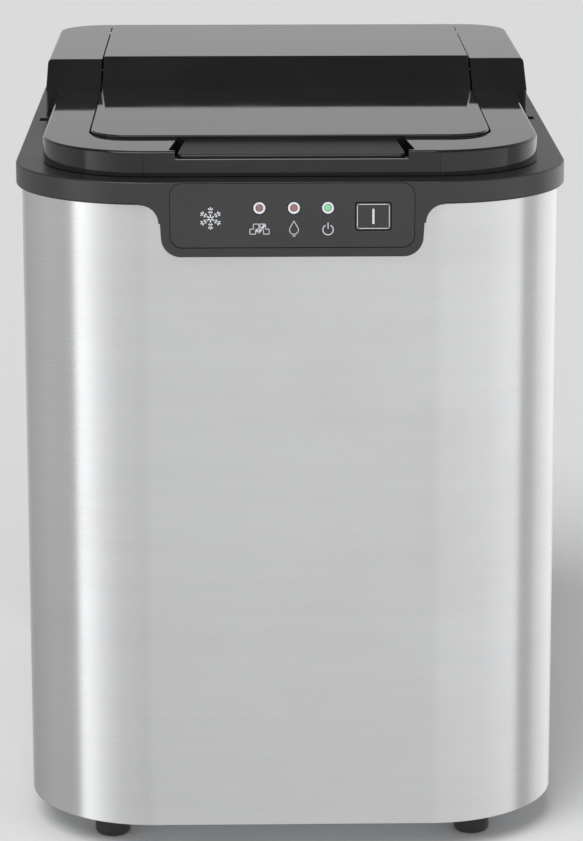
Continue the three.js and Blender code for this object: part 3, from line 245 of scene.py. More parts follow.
def soften(piece, width, steps=2, smooth=35):
    """Breaks the sharp edges of a piece, shades its curves smooth and keeps its flats flat."""
    take(piece)
    bpy.ops.object.mode_set(mode="EDIT")
    bpy.ops.mesh.select_all(action="SELECT")
    bpy.ops.mesh.remove_doubles(threshold=1e-5)
    bpy.ops.mesh.dissolve_limited(angle_limit=math.radians(0.5))
    bpy.ops.mesh.select_all(action="SELECT")
    bpy.ops.mesh.delete_loose(use_verts=True, use_edges=True, use_faces=False)
    bpy.ops.object.mode_set(mode="OBJECT")
    if width:
        edge = piece.modifiers.new("edge", "BEVEL")
        edge.width = width
        edge.segments = steps
        edge.limit_method = "ANGLE"
        edge.angle_limit = math.radians(40)
        bpy.ops.object.modifier_apply(modifier=edge.name)
    bpy.ops.object.shade_smooth_by_angle(angle=math.radians(smooth))
    even = piece.modifiers.new("even", "WEIGHTED_NORMAL")
    even.keep_sharp = True
    bpy.ops.object.modifier_apply(modifier=even.name)
    return piece


def fit(piece, material, body, slot, *nodes):
    """Paints a finished piece and lets it stand for its CAD nodes on their body."""
    piece.data.materials.clear()
    piece.data.materials.append(material)
    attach(piece, body)
    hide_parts(*nodes)
    return piece


def grown(low, high, by):
    """Two corners moved outwards by a distance along each axis."""
    return Vector(low) - Vector(by), Vector(high) + Vector(by)


def group(name, inputs, outputs):
    """A shader node group with named inputs and outputs, and its input and output nodes."""
    made = bpy.data.node_groups.new(name, "ShaderNodeTree")
    for label, kind, value in inputs:
        made.interface.new_socket(label, in_out="INPUT", socket_type=kind).default_value = value
    for label, kind in outputs:
        made.interface.new_socket(label, in_out="OUTPUT", socket_type=kind)
    return made, made.nodes.new("NodeGroupInput").outputs, made.nodes.new("NodeGroupOutput").inputs


def between(tree, value, low, high):
    """A value from 0 to 1 spread between two others."""
    return wire(tree, "ShaderNodeMapRange", (0, value), (3, low), (4, high)).outputs[0]


def handling_marks():
    """Dust that lies in soft patches, and fine scratches in a few directions, from 0 to 1."""
    tree, given, result = group(
        "handling_marks",
        [("Vector", "NodeSocketVector", (0, 0, 0)), ("Amount", "NodeSocketFloat", 0.5)],
        [("Dust", "NodeSocketFloat"), ("Scratches", "NodeSocketFloat")],
    )
    patches = noise(tree, given[0], 14.0, 5.0, Roughness=0.62)
    soft = wire(tree, "ShaderNodeMapRange", (0, patches), (1, 0.46), (2, 0.72)).outputs[0]
    tree.links.new(maths(tree, "MULTIPLY", soft, given[1]), result[0])
    lines = []
    for angle, size in ((0.4, 52.0), (1.3, 41.0), (2.3, 60.0)):
        turned = wire(tree, "ShaderNodeMapping", (0, given[0]), (2, (angle, angle * 0.7, angle)),
                      (3, (1.0, 34.0, 9.0))).outputs[0]
        thin = wire(tree, "ShaderNodeTexVoronoi", (0, turned), ("Scale", size),
                    feature="DISTANCE_TO_EDGE").outputs["Distance"]
        near = wire(tree, "ShaderNodeMapRange", (0, thin), (1, 0.0), (2, 0.012), (3, 1.0), (4, 0.0))
        lines.append(near.outputs[0])
    most = maths(tree, "MAXIMUM", maths(tree, "MAXIMUM", lines[0], lines[1]), lines[2])
    sparse = noise(tree, given[0], 30.0)
    kept = wire(tree, "ShaderNodeMapRange", (0, sparse), (1, 0.56), (2, 0.7)).outputs[0]
    tree.links.new(maths(tree, "MULTIPLY", maths(tree, "MULTIPLY", most, kept), given[1]), result[1])
    return tree


def brushing():
    """Long fine lines that run round the machine: their height, and a slower drift of tone."""
    tree, given, result = group(
        "brushing",
        [("Vector", "NodeSocketVector", (0, 0, 0)), ("Fineness", "NodeSocketFloat", 1500.0)],
        [("Lines", "NodeSocketFloat"), ("Drift", "NodeSocketFloat")],
    )
    stretch = wire(tree, "ShaderNodeCombineXYZ", (0, 16.0), (1, 16.0), (2, given[1])).outputs[0]
    drawn = wire(tree, "ShaderNodeVectorMath", (0, given[0]), (1, stretch), operation="MULTIPLY").outputs[0]
    broad = wire(tree, "ShaderNodeVectorMath", (0, given[0]), (1, (7.0, 7.0, 120.0)), operation="MULTIPLY")
    tree.links.new(noise(tree, drawn, 1.0, 4.0, Roughness=0.7), result[0])
    tree.links.new(noise(tree, broad.outputs[0], 1.0), result[1])
    return tree


MARKS = handling_marks()
BRUSHING = brushing()


def placed(tree, pattern, place, **values):
    """The outputs of a shared pattern, laid by the place of each point and given its own values."""
    return wire(tree, "ShaderNodeGroup", ("Vector", place), *values.items(), node_tree=pattern).outputs


def plus(tree, value, more, share):
    """A value with a share of another added."""
    return maths(tree, "ADD", value, maths(tree, "MULTIPLY", more, share))


def less(tree, value, more, share):
    """A value with a share of another taken off."""
    return maths(tree, "SUBTRACT", value, maths(tree, "MULTIPLY", more, share))


def brushed_steel():
    made, tree, surface, place = finish("brushed_steel", metallic=1.0, Anisotropic=0.85)
    brush = placed(tree, BRUSHING, place)
    marks = placed(tree, MARKS, place, Amount=0.5)
    tone = maths(tree, "ADD", between(tree, brush["Lines"], 0.1, 0.6), between(tree, brush["Drift"], 0, 0.3))
    metal = blend(tree, tone, (0.55, 0.555, 0.565), (0.69, 0.695, 0.70))
    colour = blend(tree, maths(tree, "MULTIPLY", marks["Dust"], 0.12), metal, (0.5, 0.49, 0.47))
    rough = plus(tree, between(tree, brush["Lines"], 0.2, 0.32), marks["Dust"], 0.07)
    coat(tree, surface, colour, rough, less(tree, brush["Lines"], marks["Scratches"], 0.25), 0.12, 0.00012)
    tangent = wire(tree, "ShaderNodeTangent", direction_type="RADIAL", axis="Z").outputs[0]
    tree.links.new(tangent, surface["Tangent"])
    surface["Anisotropic Rotation"].default_value = 0.25
    return made


SHEET = 0.001
wrap_low, wrap_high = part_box("body_wrap")
window_low, window_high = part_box("control_board")
panel_low, panel_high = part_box("rear_panel")
FRONT_ROLL = 0.0575
REAR_ROLL = 0.0275
wrap = tub("steel_wrap", wrap_low, wrap_high, FRONT_ROLL, REAR_ROLL, 28)
inside_low, inside_high = grown(wrap_low, wrap_high, (-SHEET, -SHEET, 0.002))
cut(wrap, tub("inside", inside_low, inside_high, FRONT_ROLL - SHEET, REAR_ROLL - SHEET, 28))
cut(wrap, box("control_window", (window_low.x - 0.002, wrap_low.y - 0.01, window_low.z - 0.001),
              (window_high.x + 0.002, wrap_low.y + 0.01, wrap_high.z + 0.01)))
cut(wrap, box("back_window", (panel_low.x + 0.012, wrap_high.y - 0.02, panel_low.z + 0.007),
              (panel_high.x - 0.012, wrap_high.y + 0.01, panel_high.z - 0.007)))
LOUVRES = 8
LOUVRE_PITCH = 0.011
for number in range(LOUVRES):
    y = wrap_low.y + 0.2015 + LOUVRE_PITCH * number
    slit = box("louvre", (wrap_low.x - 0.01, y, wrap_low.z + 0.037),
               (wrap_high.x + 0.01, y + 0.004, wrap_low.z + 0.097))
    cut(wrap, round_edges(slit, 0.0018, 4, lambda at, way: abs(way.x) > 0.9))
soften(wrap, 0.0003, 2)
steel = brushed_steel()
fit(wrap, steel, "cabinet", "brushed_wrap", "body_wrap")

# Base pan: a tray of zinc-plated sheet that closes the wrap's underside, with its edge turned up and
# spot-welded inside the steel. The feet and everything in the machine room stand on it.


def refined(node, material, body, slot, width=0.0004, steps=2, smooth=35):
    """A piece at its drawn shape: its skin joined, its edges broken, its curves smooth."""
    made = bpy.data.objects.new(node + "_finished", bpy.data.objects[node].data.copy())
    bpy.context.scene.collection.objects.link(made)
    soften(made, width, steps, smooth)
    return fit(made, material, body, slot, node)


def plated_zinc():
    made, tree, surface, place = finish("plated_zinc", metallic=1.0)
    flakes = wire(tree, "ShaderNodeTexVoronoi", (0, place), ("Scale", 95.0)).outputs["Color"]
    tone = wire(tree, "ShaderNodeSeparateColor", (0, flakes)).outputs[0]
    colour = blend(tree, tone, (0.46, 0.48, 0.5), (0.6, 0.62, 0.64))
    coat(tree, surface, colour, between(tree, tone, 0.36, 0.52), tone, 0.15, 0.0002)
    return made


refined("base_pan", plated_zinc(), "cabinet", "zinc_sheet", 0.0003)

# Feet: four turned rubber feet, each pressed through the pan by a barbed stem. The sole is dished, and
# a groove runs round under the shoulder.


def rod(name, start, end, radius, sides=48):
    """A round bar between two points."""
    start, end = Vector(start), Vector(end)
    bpy.ops.object.select_all(action="DESELECT")
    turn = (end - start).to_track_quat("Z", "Y").to_euler()
    bpy.ops.mesh.primitive_cylinder_add(vertices=sides, radius=radius, depth=(end - start).length,
                                        location=(start + end) / 2, rotation=turn)
    made = bpy.context.object
    made.name = name
    bpy.ops.object.transform_apply(location=True, rotation=True, scale=True)
    return made


def copy_to(piece, name, move):
    """A copy of a finished mesh, moved by a distance."""
    made = bpy.data.objects.new(name, piece.data.copy())
    bpy.context.scene.collection.objects.link(made)
    made.data.transform(Matrix.Translation(move))
    return made


def black_rubber():
    made, tree, surface, place = finish("black_rubber", Specular_IOR_Level=0.35)
    grain = noise(tree, place, 1600.0, 3.0)
    dust = noise(tree, place, 120.0, 4.0)
    colour = blend(tree, between(tree, dust, -0.2, 1.0), (0.012, 0.012, 0.013), (0.045, 0.044, 0.042))
    coat(tree, surface, colour, between(tree, dust, 0.5, 0.8), grain, 0.2, 0.0001)
    return made


FOOT_STEM = 0.0027
GROOVE = 0.0005
foot_low, foot_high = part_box("foot_front_left")
pan_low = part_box("base_pan")[0].z - 0.0003
across = (foot_low + foot_high) / 2
radius = (foot_high.x - foot_low.x) / 2
first_foot = rod("foot", (across.x, across.y, 0), (across.x, across.y, pan_low), radius, 64)
round_edges(first_foot, 0.0022, 5, lambda at, way: abs(way.z) < 0.1 and at.z < 0.001)
round_edges(first_foot, 0.0006, 3, lambda at, way: abs(way.z) < 0.1 and at.z > pan_low - 1e-4)
dish = rod("dish", (across.x, across.y, -0.001), (across.x, across.y, 0.0012), radius * 0.5)
ring = rod("ring", (across.x, across.y, pan_low - 0.0034), (across.x, across.y, pan_low - 0.0026),
           radius + 0.001, 64)
cut(ring, rod("core", (across.x, across.y, 0), (across.x, across.y, pan_low), radius - GROOVE, 64))
stem = rod("stem", (across.x, across.y, pan_low - 0.001), (across.x, across.y, foot_high.z), FOOT_STEM, 32)
round_edges(stem, 0.0007, 2, lambda at, way: abs(way.z) < 0.1 and at.z > foot_high.z - 1e-4)
cut(first_foot, dish, ring)
soften(shape(first_foot, "UNION", stem), 0.0002)
rubber = black_rubber()
for name in ("foot_front_left", "foot_front_right", "foot_rear_left", "foot_rear_right"):
    there = (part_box(name)[0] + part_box(name)[1]) / 2
    fit(copy_to(first_foot, name + "_rubber", there - across), rubber, "cabinet", "foot_rubber", name)
bpy.data.objects.remove(first_foot)

# Rear panel: black moulded plastic, screwed over the wrap's open back. Its middle stands out to make
# room for the fan's air, with one grille before the fan and one beside it.


def speckle():
    """The fine spark-eroded grain of a moulded plastic face, from 0 to 1."""
    tree, given, result = group(
        "speckle",
        [("Vector", "NodeSocketVector", (0, 0, 0)), ("Fineness", "NodeSocketFloat", 1800.0)],
        [("Grain", "NodeSocketFloat"), ("Clouds", "NodeSocketFloat")],
    )
    tree.links.new(noise(tree, given[0], given[1]), result[0])
    tree.links.new(noise(tree, given[0], 22.0, 4.0), result[1])
    return tree


SPECKLE = speckle()


def moulded(name, dark, pale, low, high, depth, fineness=1800.0, dust=0.15, **sockets):
    """Moulded plastic between two colours and two roughnesses, with its grain, dust and scratches."""
    made, tree, surface, place = finish(name, **sockets)
    grain = placed(tree, SPECKLE, place, Fineness=fineness)
    marks = placed(tree, MARKS, place, Amount=dust)
    tone = plus(tree, maths(tree, "MULTIPLY", grain["Grain"], 0.5), grain["Clouds"], 0.5)
    colour = blend(tree, between(tree, tone, -0.5, 1.5), dark, pale)
    dusty = [min(1.0, value * 1.3 + 0.03) for value in pale]
    wear = maths(tree, "ADD", marks["Dust"], marks["Scratches"])
    rough = plus(tree, between(tree, tone, low, high), wear, 0.12)
    height = less(tree, grain["Grain"], marks["Scratches"], 0.4)
    coat(tree, surface, blend(tree, marks["Dust"], colour, dusty), rough, height, 1.0, depth)
    return made


def plate(name, low, high, radius, steps=8):
    """A plate that faces front and back, its four corners rounded."""
    return round_edges(box(name, low, high), radius, steps, lambda at, way: abs(way.y) > 0.9)


FLANGE = 0.002
PANEL_WALL = 0.0022
BULGE_HALF = 0.080
flange = plate("rear_flange", panel_low, (panel_high.x, panel_low.y + FLANGE, panel_high.z), 0.006)
bulge_low = (-BULGE_HALF, panel_low.y, panel_low.z + 0.007)
bulge_high = (BULGE_HALF, panel_high.y, panel_high.z - 0.007)
bulge = plate("bulge", bulge_low, bulge_high, 0.008)
round_edges(bulge, 0.0025, 4, lambda at, way: at.y > panel_high.y - 1e-5)
shape(flange, "UNION", bulge)
room_low, room_high = grown(bulge_low, bulge_high, (-PANEL_WALL, -PANEL_WALL, -PANEL_WALL))
room_low.y -= 0.01
cut(flange, plate("room", room_low, room_high, 0.006))
# Each grille's ends from left to right, its number of slots and the height of its lowest.
GRILLES = ((0.014, BULGE_HALF - 0.006, 10, 0.032), (0.006 - BULGE_HALF, -0.014, 6, 0.064))
SLOT_PITCH = 0.008
for first, last, count, base in GRILLES:
    for number in range(count):
        z = base + SLOT_PITCH * number
        slot_low = (first, panel_high.y - 0.005, z)
        cut(flange, plate("slot", slot_low, (last, panel_high.y + 0.001, z + 0.004), 0.0018, 4))
drain_low, drain_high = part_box("drain_plug")
drain_centre = (drain_low + drain_high) / 2
gland_low, gland_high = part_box("cord_gland")
gland_centre = (gland_low + gland_high) / 2
for centre, bore in ((drain_centre, drain_high.x - drain_centre.x + 0.0015), (gland_centre, 0.0083)):
    hole = rod("bore", (centre.x, panel_high.y - 0.005, centre.z),
               (centre.x, panel_high.y + 0.001, centre.z), bore)
    cut(flange, hole)
screws = [f"rear_screw_{level}_{side}" for level in ("lower", "upper") for side in ("left", "right")]
for name in screws:
    low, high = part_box(name)
    x, z = (low.x + high.x) / 2, (low.z + high.z) / 2
    cut(flange, rod("screw_hole", (x, panel_low.y - 0.001, z), (x, panel_low.y + 0.003, z), 0.0019, 24))
soften(flange, 0.0004, 2)
textured = moulded("rear_plastic", (0.014, 0.014, 0.015), (0.024, 0.024, 0.026), 0.5, 0.66, 0.00009, 900.0)
fit(flange, textured, "cabinet", "black_texture", "rear_panel")

# Rear screws: pan-headed steel screws with a cross recess, one at each corner of the rear panel. They
# are turned into the edge of the wrap.


def drawn_steel(name, dark, pale):
    made, tree, surface, place = finish(name, metallic=1.0)
    stains = noise(tree, place, 260.0, 4.0)
    coat(tree, surface, blend(tree, stains, dark, pale), between(tree, stains, 0.18, 0.42))
    return made


low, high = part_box(screws[0])
x, z = (low.x + high.x) / 2, (low.z + high.z) / 2
seat = panel_low.y + FLANGE + 0.0003
screw = rod("screw", (x, seat, z), (x, high.y, z), (high.x - low.x) / 2, 40)
round_edges(screw, 0.0011, 5, lambda at, way: at.y > high.y - 1e-5)
for wide, tall in ((0.0018, 0.0004), (0.0004, 0.0018)):
    cut(screw, box("cross", (x - wide, high.y - 0.0014, z - tall), (x + wide, high.y + 0.001, z + tall)))
shape(screw, "UNION", rod("shank", (x, low.y, z), (x, seat + 0.0005, z), 0.0015, 24))
soften(screw, 0.00012)
screw_steel = drawn_steel("screw_steel", (0.42, 0.42, 0.43), (0.62, 0.62, 0.62))
for name in screws:
    fit(copy_to(screw, name + "_steel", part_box(name)[0] - low), screw_steel, "cabinet", "screw_steel", name)
bpy.data.objects.remove(screw)

# Cord gland: a moulded rubber bush that the mains lead would leave through. A collar inside the panel
# holds it.
throat = (gland_centre.x, gland_high.y, gland_centre.z)
gland = rod("gland", (throat[0], gland_low.y + 0.0021, throat[2]), throat, 0.008, 64)
collar = rod("collar", (throat[0], gland_high.y - 0.0046, throat[2]),
             (throat[0], gland_high.y - 0.0024, throat[2]), 0.0105, 64)
shape(gland, "UNION", collar)
cut(gland, rod("bore", (throat[0], gland_low.y - 0.001, throat[2]), (throat[0], 0.2, throat[2]), 0.004))
round_edges(gland, 0.0012, 4, lambda at, way: at.y > gland_high.y - 1e-5)
soften(gland, 0.0003)
fit(gland, rubber, "cabinet", "black_texture", "cord_gland")

# Top frame: the black rim round the top of the wrap, one moulding with the tongue that holds the
# control label. Its upper face is a satin texture, and the tank hangs in its opening.


def drawn(name, axes, outline, start, end):
    """An outline of points on two axes, drawn out along the third from a start to an end."""
    first, second = ("xyz".index(letter) for letter in axes)
    third = 3 - first - second
    bpy.ops.object.select_all(action="DESELECT")
    bpy.ops.mesh.primitive_circle_add(vertices=len(outline), fill_type="NGON")
    made = bpy.context.object
    made.name = name
    for corner, point in zip(made.data.vertices, outline):
        corner.co[first], corner.co[second], corner.co[third] = point[0], point[1], start
    shift = [0, 0, 0]
    shift[third] = end - start
    bpy.ops.object.mode_set(mode="EDIT")
    bpy.ops.mesh.select_all(action="SELECT")
    bpy.ops.mesh.extrude_region_move(TRANSFORM_OT_translate={"value": shift})
    bpy.ops.mesh.select_all(action="SELECT")
    bpy.ops.mesh.normals_make_consistent(inside=False)
    bpy.ops.object.mode_set(mode="OBJECT")
    return made


FRAME_WALL = 0.0022
RIM_ROLL = 0.060
RIM_REAR_ROLL = 0.030
BAND = 0.010
TONGUE_HALF = 0.057
TONGUE_TAPER = 0.0015
TONGUE_ROLL = 0.008
TONGUE_DEPTH = 0.0022
frame_low, frame_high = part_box("top_frame")
rim_bottom = frame_high.z - BAND
rim = tub("rim", (frame_low.x, frame_low.y, rim_bottom), frame_high, RIM_ROLL, RIM_REAR_ROLL, 28)
round_edges(rim, 0.0009, 3, lambda at, way: abs(way.z) < 0.1)
label_low, label_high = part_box("control_label")
front = frame_low.y
tongue = drawn("tongue", "xz", [(-TONGUE_HALF, rim_bottom + 0.004), (TONGUE_TAPER - TONGUE_HALF, frame_low.z),
                                (TONGUE_HALF - TONGUE_TAPER, frame_low.z), (TONGUE_HALF, rim_bottom + 0.004)],
               front, front + TONGUE_DEPTH)
round_edges(tongue, TONGUE_ROLL, 12, lambda at, way: abs(way.y) > 0.9 and at.z < frame_low.z + 0.001)
shoulder_low = (-TONGUE_HALF - TONGUE_ROLL, front, rim_bottom - TONGUE_ROLL)
shoulder_high = (TONGUE_HALF + TONGUE_ROLL, front + TONGUE_DEPTH, rim_bottom + 0.003)
shoulders = box("shoulders", shoulder_low, shoulder_high)
for side in (-1, 1):
    x = side * shoulder_high[0]
    scoop = rod("scoop", (x, front - 0.01, shoulder_low[2]), (x, front + 0.01, shoulder_low[2]),
                TONGUE_ROLL, 96)
    cut(shoulders, scoop)
shape(rim, "UNION", tongue, shoulders)
hollow_low, hollow_high = grown((frame_low.x, frame_low.y, rim_bottom), frame_high, (-FRAME_WALL,) * 3)
hollow_low.z = rim_bottom - 0.001
cut(rim, tub("hollow", hollow_low, hollow_high, RIM_ROLL - FRAME_WALL, RIM_REAR_ROLL - FRAME_WALL, 28))
tank_low, tank_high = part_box("water_tank")
mouth_low = (tank_low.x + 0.0065, tank_low.y + 0.0065, frame_high.z - 0.006)
mouth_high = (tank_high.x - 0.0065, tank_high.y - 0.0065, frame_high.z + 0.001)
cut(rim, tub("mouth", mouth_low, mouth_high, 0.0177, 0.0177, 10))
pocket_low, pocket_high = grown(label_low, label_high, (0.0003, 0.0003, 0.0003))
pocket_low.y -= 0.002
cut(rim, plate("pocket", pocket_low, pocket_high, 0.0053))
LIGHTS = ("indicator_ice_full", "indicator_add_water", "indicator_running")
CAP_SHY = 0.0012


def control_openings(clearance):
    """Cutters for the button and the three lights."""
    low, high = grown(*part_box("power_button"), (clearance - CAP_SHY,) * 3)
    cutters = [plate("button_hole", (low.x, front - 0.001, low.z), (high.x, front + 0.006, high.z), 0.001, 3)]
    for name in LIGHTS:
        low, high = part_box(name)
        x, z = (low.x + high.x) / 2, (low.z + high.z) / 2
        reach = (high.x - low.x) / 2 + clearance
        cutters.append(rod("light_hole", (x, front - 0.001, z), (x, front + 0.006, z), reach))
    return cutters


cut(rim, *control_openings(0.0003))
for side in (-1, 1):
    x = side * (frame_high.x - 0.0057)
    cut(rim, box("clip_notch", (x - 0.002, -0.011, frame_high.z - 0.005),
                 (x + 0.002, -0.002, frame_high.z + 0.001)))
soften(rim, 0.00035, 2)
satin = moulded("satin_black", (0.009, 0.009, 0.0102), (0.019, 0.019, 0.0207), 0.3, 0.42, 0.00003, 1500.0,
                0.1, Specular_IOR_Level=0.6)
fit(rim, satin, "cabinet", "black_satin", "top_frame")

# Control label: a smooth graphite plate set into the tongue, with openings for the button and the
# lights. Its signs are printed on it in white: a snowflake, full ice bin, no water and running.
label = plate("label", label_low, label_high, 0.005, 10)
cut(label, *control_openings(0.0003))
soften(label, 0.00022, 3)
graphite = moulded("label_film", (0.019, 0.019, 0.0215), (0.028, 0.028, 0.0312), 0.24, 0.34, 0.00001, 2600.0,
                   0.12)
fit(label, graphite, "cabinet", "label_film", "control_label")

INK = 0.00006
ink_back = label_low.y - 0.00001


def line(start, end, stroke):
    """A printed stroke between two (x, z) points, a little longer than their distance."""
    start, end = Vector(start), Vector(end)
    along = (end - start).normalized() * stroke / 2
    side = Vector((-along.y, along.x))
    corners = [start - side - along * 0.4, end - side + along * 0.4,
               end + side + along * 0.4, start + side - along * 0.4]
    return drawn("ink", "xz", corners, ink_back - INK, ink_back)


def curve(x, z, radius, first, last, steps, stroke):
    """A printed arc about a centre, its angles in degrees."""
    turns = [math.radians(first + (last - first) * step / steps) for step in range(steps + 1)]
    outside, inside = radius + stroke / 2, radius - stroke / 2
    outer = [(x + outside * math.cos(turn), z + outside * math.sin(turn)) for turn in turns]
    inner = [(x + inside * math.cos(turn), z + inside * math.sin(turn)) for turn in turns]
    return drawn("ink", "xz", outer + inner[::-1], ink_back - INK, ink_back)


def loop(points, stroke):
    """Printed strokes round a closed outline."""
    return [line(point, points[(number + 1) % len(points)], stroke) for number, point in enumerate(points)]


def white_ink():
    made, tree, surface, place = finish("white_ink", Specular_IOR_Level=0.3)
    cover = noise(tree, place, 2400.0)
    colour = blend(tree, cover, (0.66, 0.69, 0.72), (0.8, 0.82, 0.84))
    coat(tree, surface, colour, between(tree, cover, 0.4, 0.6))
    return made


def print_sign(name, strokes, body="cabinet"):
    """Joins printed strokes into one sign that goes with a body."""
    bpy.ops.object.select_all(action="DESELECT")
    for stroke in strokes:
        stroke.select_set(True)
    bpy.context.view_layer.objects.active = strokes[0]
    bpy.ops.object.join()
    strokes[0].name = name
    strokes[0].data.materials.clear()
    strokes[0].data.materials.append(ink)
    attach(strokes[0], body)


def light_centre(name):
    low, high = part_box(name)
    return (low.x + high.x) / 2, (low.z + high.z) / 2


ink = white_ink()
button_low, button_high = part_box("power_button")
button_x, button_z = (button_low.x + button_high.x) / 2, (button_low.z + button_high.z) / 2
SIGN_DROP = 0.0090
sign_z = light_centre(LIGHTS[0])[1] - SIGN_DROP
flake = Vector((label_low.x + 0.0172, button_z - 0.0006))
arms = []
for number in range(6):
    ray = Vector((math.cos(math.radians(30 + 60 * number)), math.sin(math.radians(30 + 60 * number))))
    across_ray = Vector((-ray.y, ray.x))
    arms.append(line(flake, flake + ray * 0.0047, 0.00055))
    for reach, barb in ((0.0020, 0.0011), (0.0033, 0.0013)):
        root = flake + ray * reach
        arms += [line(root, root + (ray + across_ray * side) * barb * 0.72, 0.0005) for side in (-1, 1)]
print_sign("sign_snowflake", arms)

x = light_centre(LIGHTS[0])[0]
cubes = []
half = 0.0012
for dx, dz in ((-0.0029, -0.0011), (0.0029, -0.0011), (-0.0014, 0.0011), (0.0014, 0.0011)):
    square = [(x + dx - half, sign_z + dz - half * 0.9), (x + dx + half, sign_z + dz - half * 0.9),
              (x + dx + half, sign_z + dz + half * 0.9), (x + dx - half, sign_z + dz + half * 0.9)]
    cubes += loop(square, 0.0003)
cubes += [line((x - 0.0014, sign_z - 0.0002), (x - 0.0003, sign_z - 0.0015), 0.0009),
          line((x - 0.0003, sign_z - 0.0015), (x + 0.0021, sign_z + 0.0017), 0.0009)]
print_sign("sign_bin_full", cubes)

x = light_centre(LIGHTS[1])[0]
drop_z = sign_z - 0.0004
drop = [curve(x, drop_z, 0.0019, 155, 385, 24, 0.0003)]
shoulder = Vector((1.9e-3 * math.cos(math.radians(25)), 1.9e-3 * math.sin(math.radians(25))))
drop += [line((x + side * shoulder.x, drop_z + shoulder.y), (x, drop_z + 0.0039), 0.0003) for side in (-1, 1)]
drop += [line((x, drop_z - 0.0019), (x, drop_z - 0.0030), 0.0003),
         line((x - 0.0006, drop_z - 0.0026), (x + 0.0006, drop_z - 0.0026), 0.0003)]
print_sign("sign_no_water", drop)

x = light_centre(LIGHTS[2])[0]
ring_z = sign_z - 0.0004
running = [curve(x, ring_z, 0.0022, 118, 422, 36, 0.0004),
           line((x, ring_z + 0.0006), (x, ring_z + 0.003), 0.0004)]
print_sign("sign_running", running)

# Power button: a separate cap in the label's finish, pushed straight in against the switch behind it.
# A white box is printed round its face, with a bar down its middle.
cap = plate("button_cap", (button_low.x + CAP_SHY, front + 0.0001, button_low.z + CAP_SHY),
            (button_high.x - CAP_SHY, front + 0.003, button_high.z - CAP_SHY), 0.001, 4)
skirt = plate("skirt", (button_low.x, front + 0.0025, button_low.z),
              (button_high.x, front + 0.0035, button_high.z), 0.0022, 5)
stem = rod("stem", (button_x, front + 0.003, button_z), (button_x, button_high.y, button_z), 0.002, 32)
shape(cap, "UNION", skirt, stem)
soften(cap, 0.0002, 2)
fit(cap, graphite, "button", "black_satin", "power_button")
frame_half_x, frame_half_z, frame_roll = 0.0068, 0.0052, 0.0008
corners = []
for cx, cz, start in ((1, 1, 0), (-1, 1, 90), (-1, -1, 180), (1, -1, 270)):
    for step in range(5):
        a = math.radians(start + 22.5 * step)
        corners.append((button_x + cx * (frame_half_x - frame_roll) + frame_roll * math.cos(a),
                        button_z + cz * (frame_half_z - frame_roll) + frame_roll * math.sin(a)))
ink_back = front + 0.00009
button_marks = loop(corners, 0.0003)
button_marks += [line((button_x, button_z - 0.0031), (button_x, button_z + 0.0031), 0.0009)]
print_sign("sign_button", button_marks, "button")

# Lights: three bright-ringed lamps in a row, each a clear lens in a white collar with a seat behind it.
# The first two are red and the last is green.


def lamp_glass(name, dark, pale):
    made, tree, surface, place = finish(name, roughness=0.12, Coat_Weight=0.6, Coat_Roughness=0.05)
    cells = wire(tree, "ShaderNodeTexVoronoi", (0, place), ("Scale", 2600.0)).outputs["Distance"]
    coat(tree, surface, blend(tree, between(tree, cells, -0.1, 1.3), dark, pale), None, cells, 0.35, 0.0001)
    return made


lamp_colours = {"indicator_ice_full": ("lens_ice_full", (0.16, 0.06, 0.055), (0.36, 0.22, 0.21)),
                "indicator_add_water": ("lens_add_water", (0.2, 0.05, 0.05), (0.42, 0.2, 0.19)),
                "indicator_running": ("lens_running", (0.12, 0.5, 0.26), (0.35, 0.8, 0.5))}
collar_white = moulded("collar_white", (0.72, 0.74, 0.76), (0.86, 0.87, 0.88), 0.3, 0.42, 0.00001, 2000.0,
                       0.05)
LENS = 0.0015
for name, (slot, dark, pale) in lamp_colours.items():
    low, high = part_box(name)
    x, z = light_centre(name)
    collar = rod("collar", (x, low.y, z), (x, high.y, z), (high.x - low.x) / 2, 64)
    cut(collar, rod("bore", (x, low.y - 0.001, z), (x, low.y + 0.0012, z), LENS + 0.0001, 48))
    fit(soften(collar, 0.00025, 3), collar_white, "cabinet", "label_film", name)
    lens = rod("lens", (x, low.y + 0.0001, z), (x, low.y + 0.0012, z), LENS, 48)
    round_edges(lens, 0.0006, 5, lambda at, way: at.y < low.y + 0.0002)
    lens.name = name + "_lens"
    fit(soften(lens, 0), lamp_glass(slot + "_glass", dark, pale), "cabinet", slot, name)

# Top cover: the fixed glossy cover round the lid, low in front and stepping up to a hump over the
# hinge, moulded hollow. The lid's opening, the pull tab's pocket and the hinge bores are cut in it.


def ramp_cutter(name, half, first, toe, crest, low, high, top):
    """The room in front of a sloping face that goes up from a toe to a crest."""
    slope = (crest - toe) / (high - low)
    points = [(first, low), (toe, low), (toe + slope * (top - low), top), (first, top)]
    return drawn(name, "yz", points, -half, half)


def piano_black():
    made, tree, surface, place = finish("piano_black", IOR=1.42)
    marks = placed(tree, MARKS, place, Amount=0.3)
    grain = placed(tree, SPECKLE, place, Fineness=130.0)
    base = blend(tree, grain["Clouds"], (0.0085, 0.0085, 0.0095), (0.0135, 0.0135, 0.015))
    colour = blend(tree, maths(tree, "MULTIPLY", marks["Dust"], 0.25), base, (0.09, 0.088, 0.085))
    wear = maths(tree, "ADD", marks["Dust"], marks["Scratches"])
    rough = plus(tree, between(tree, grain["Clouds"], 0.03, 0.055), wear, 0.14)
    coat(tree, surface, colour, rough, less(tree, grain["Grain"], marks["Scratches"], 0.15), 0.35, 0.00002)
    return made


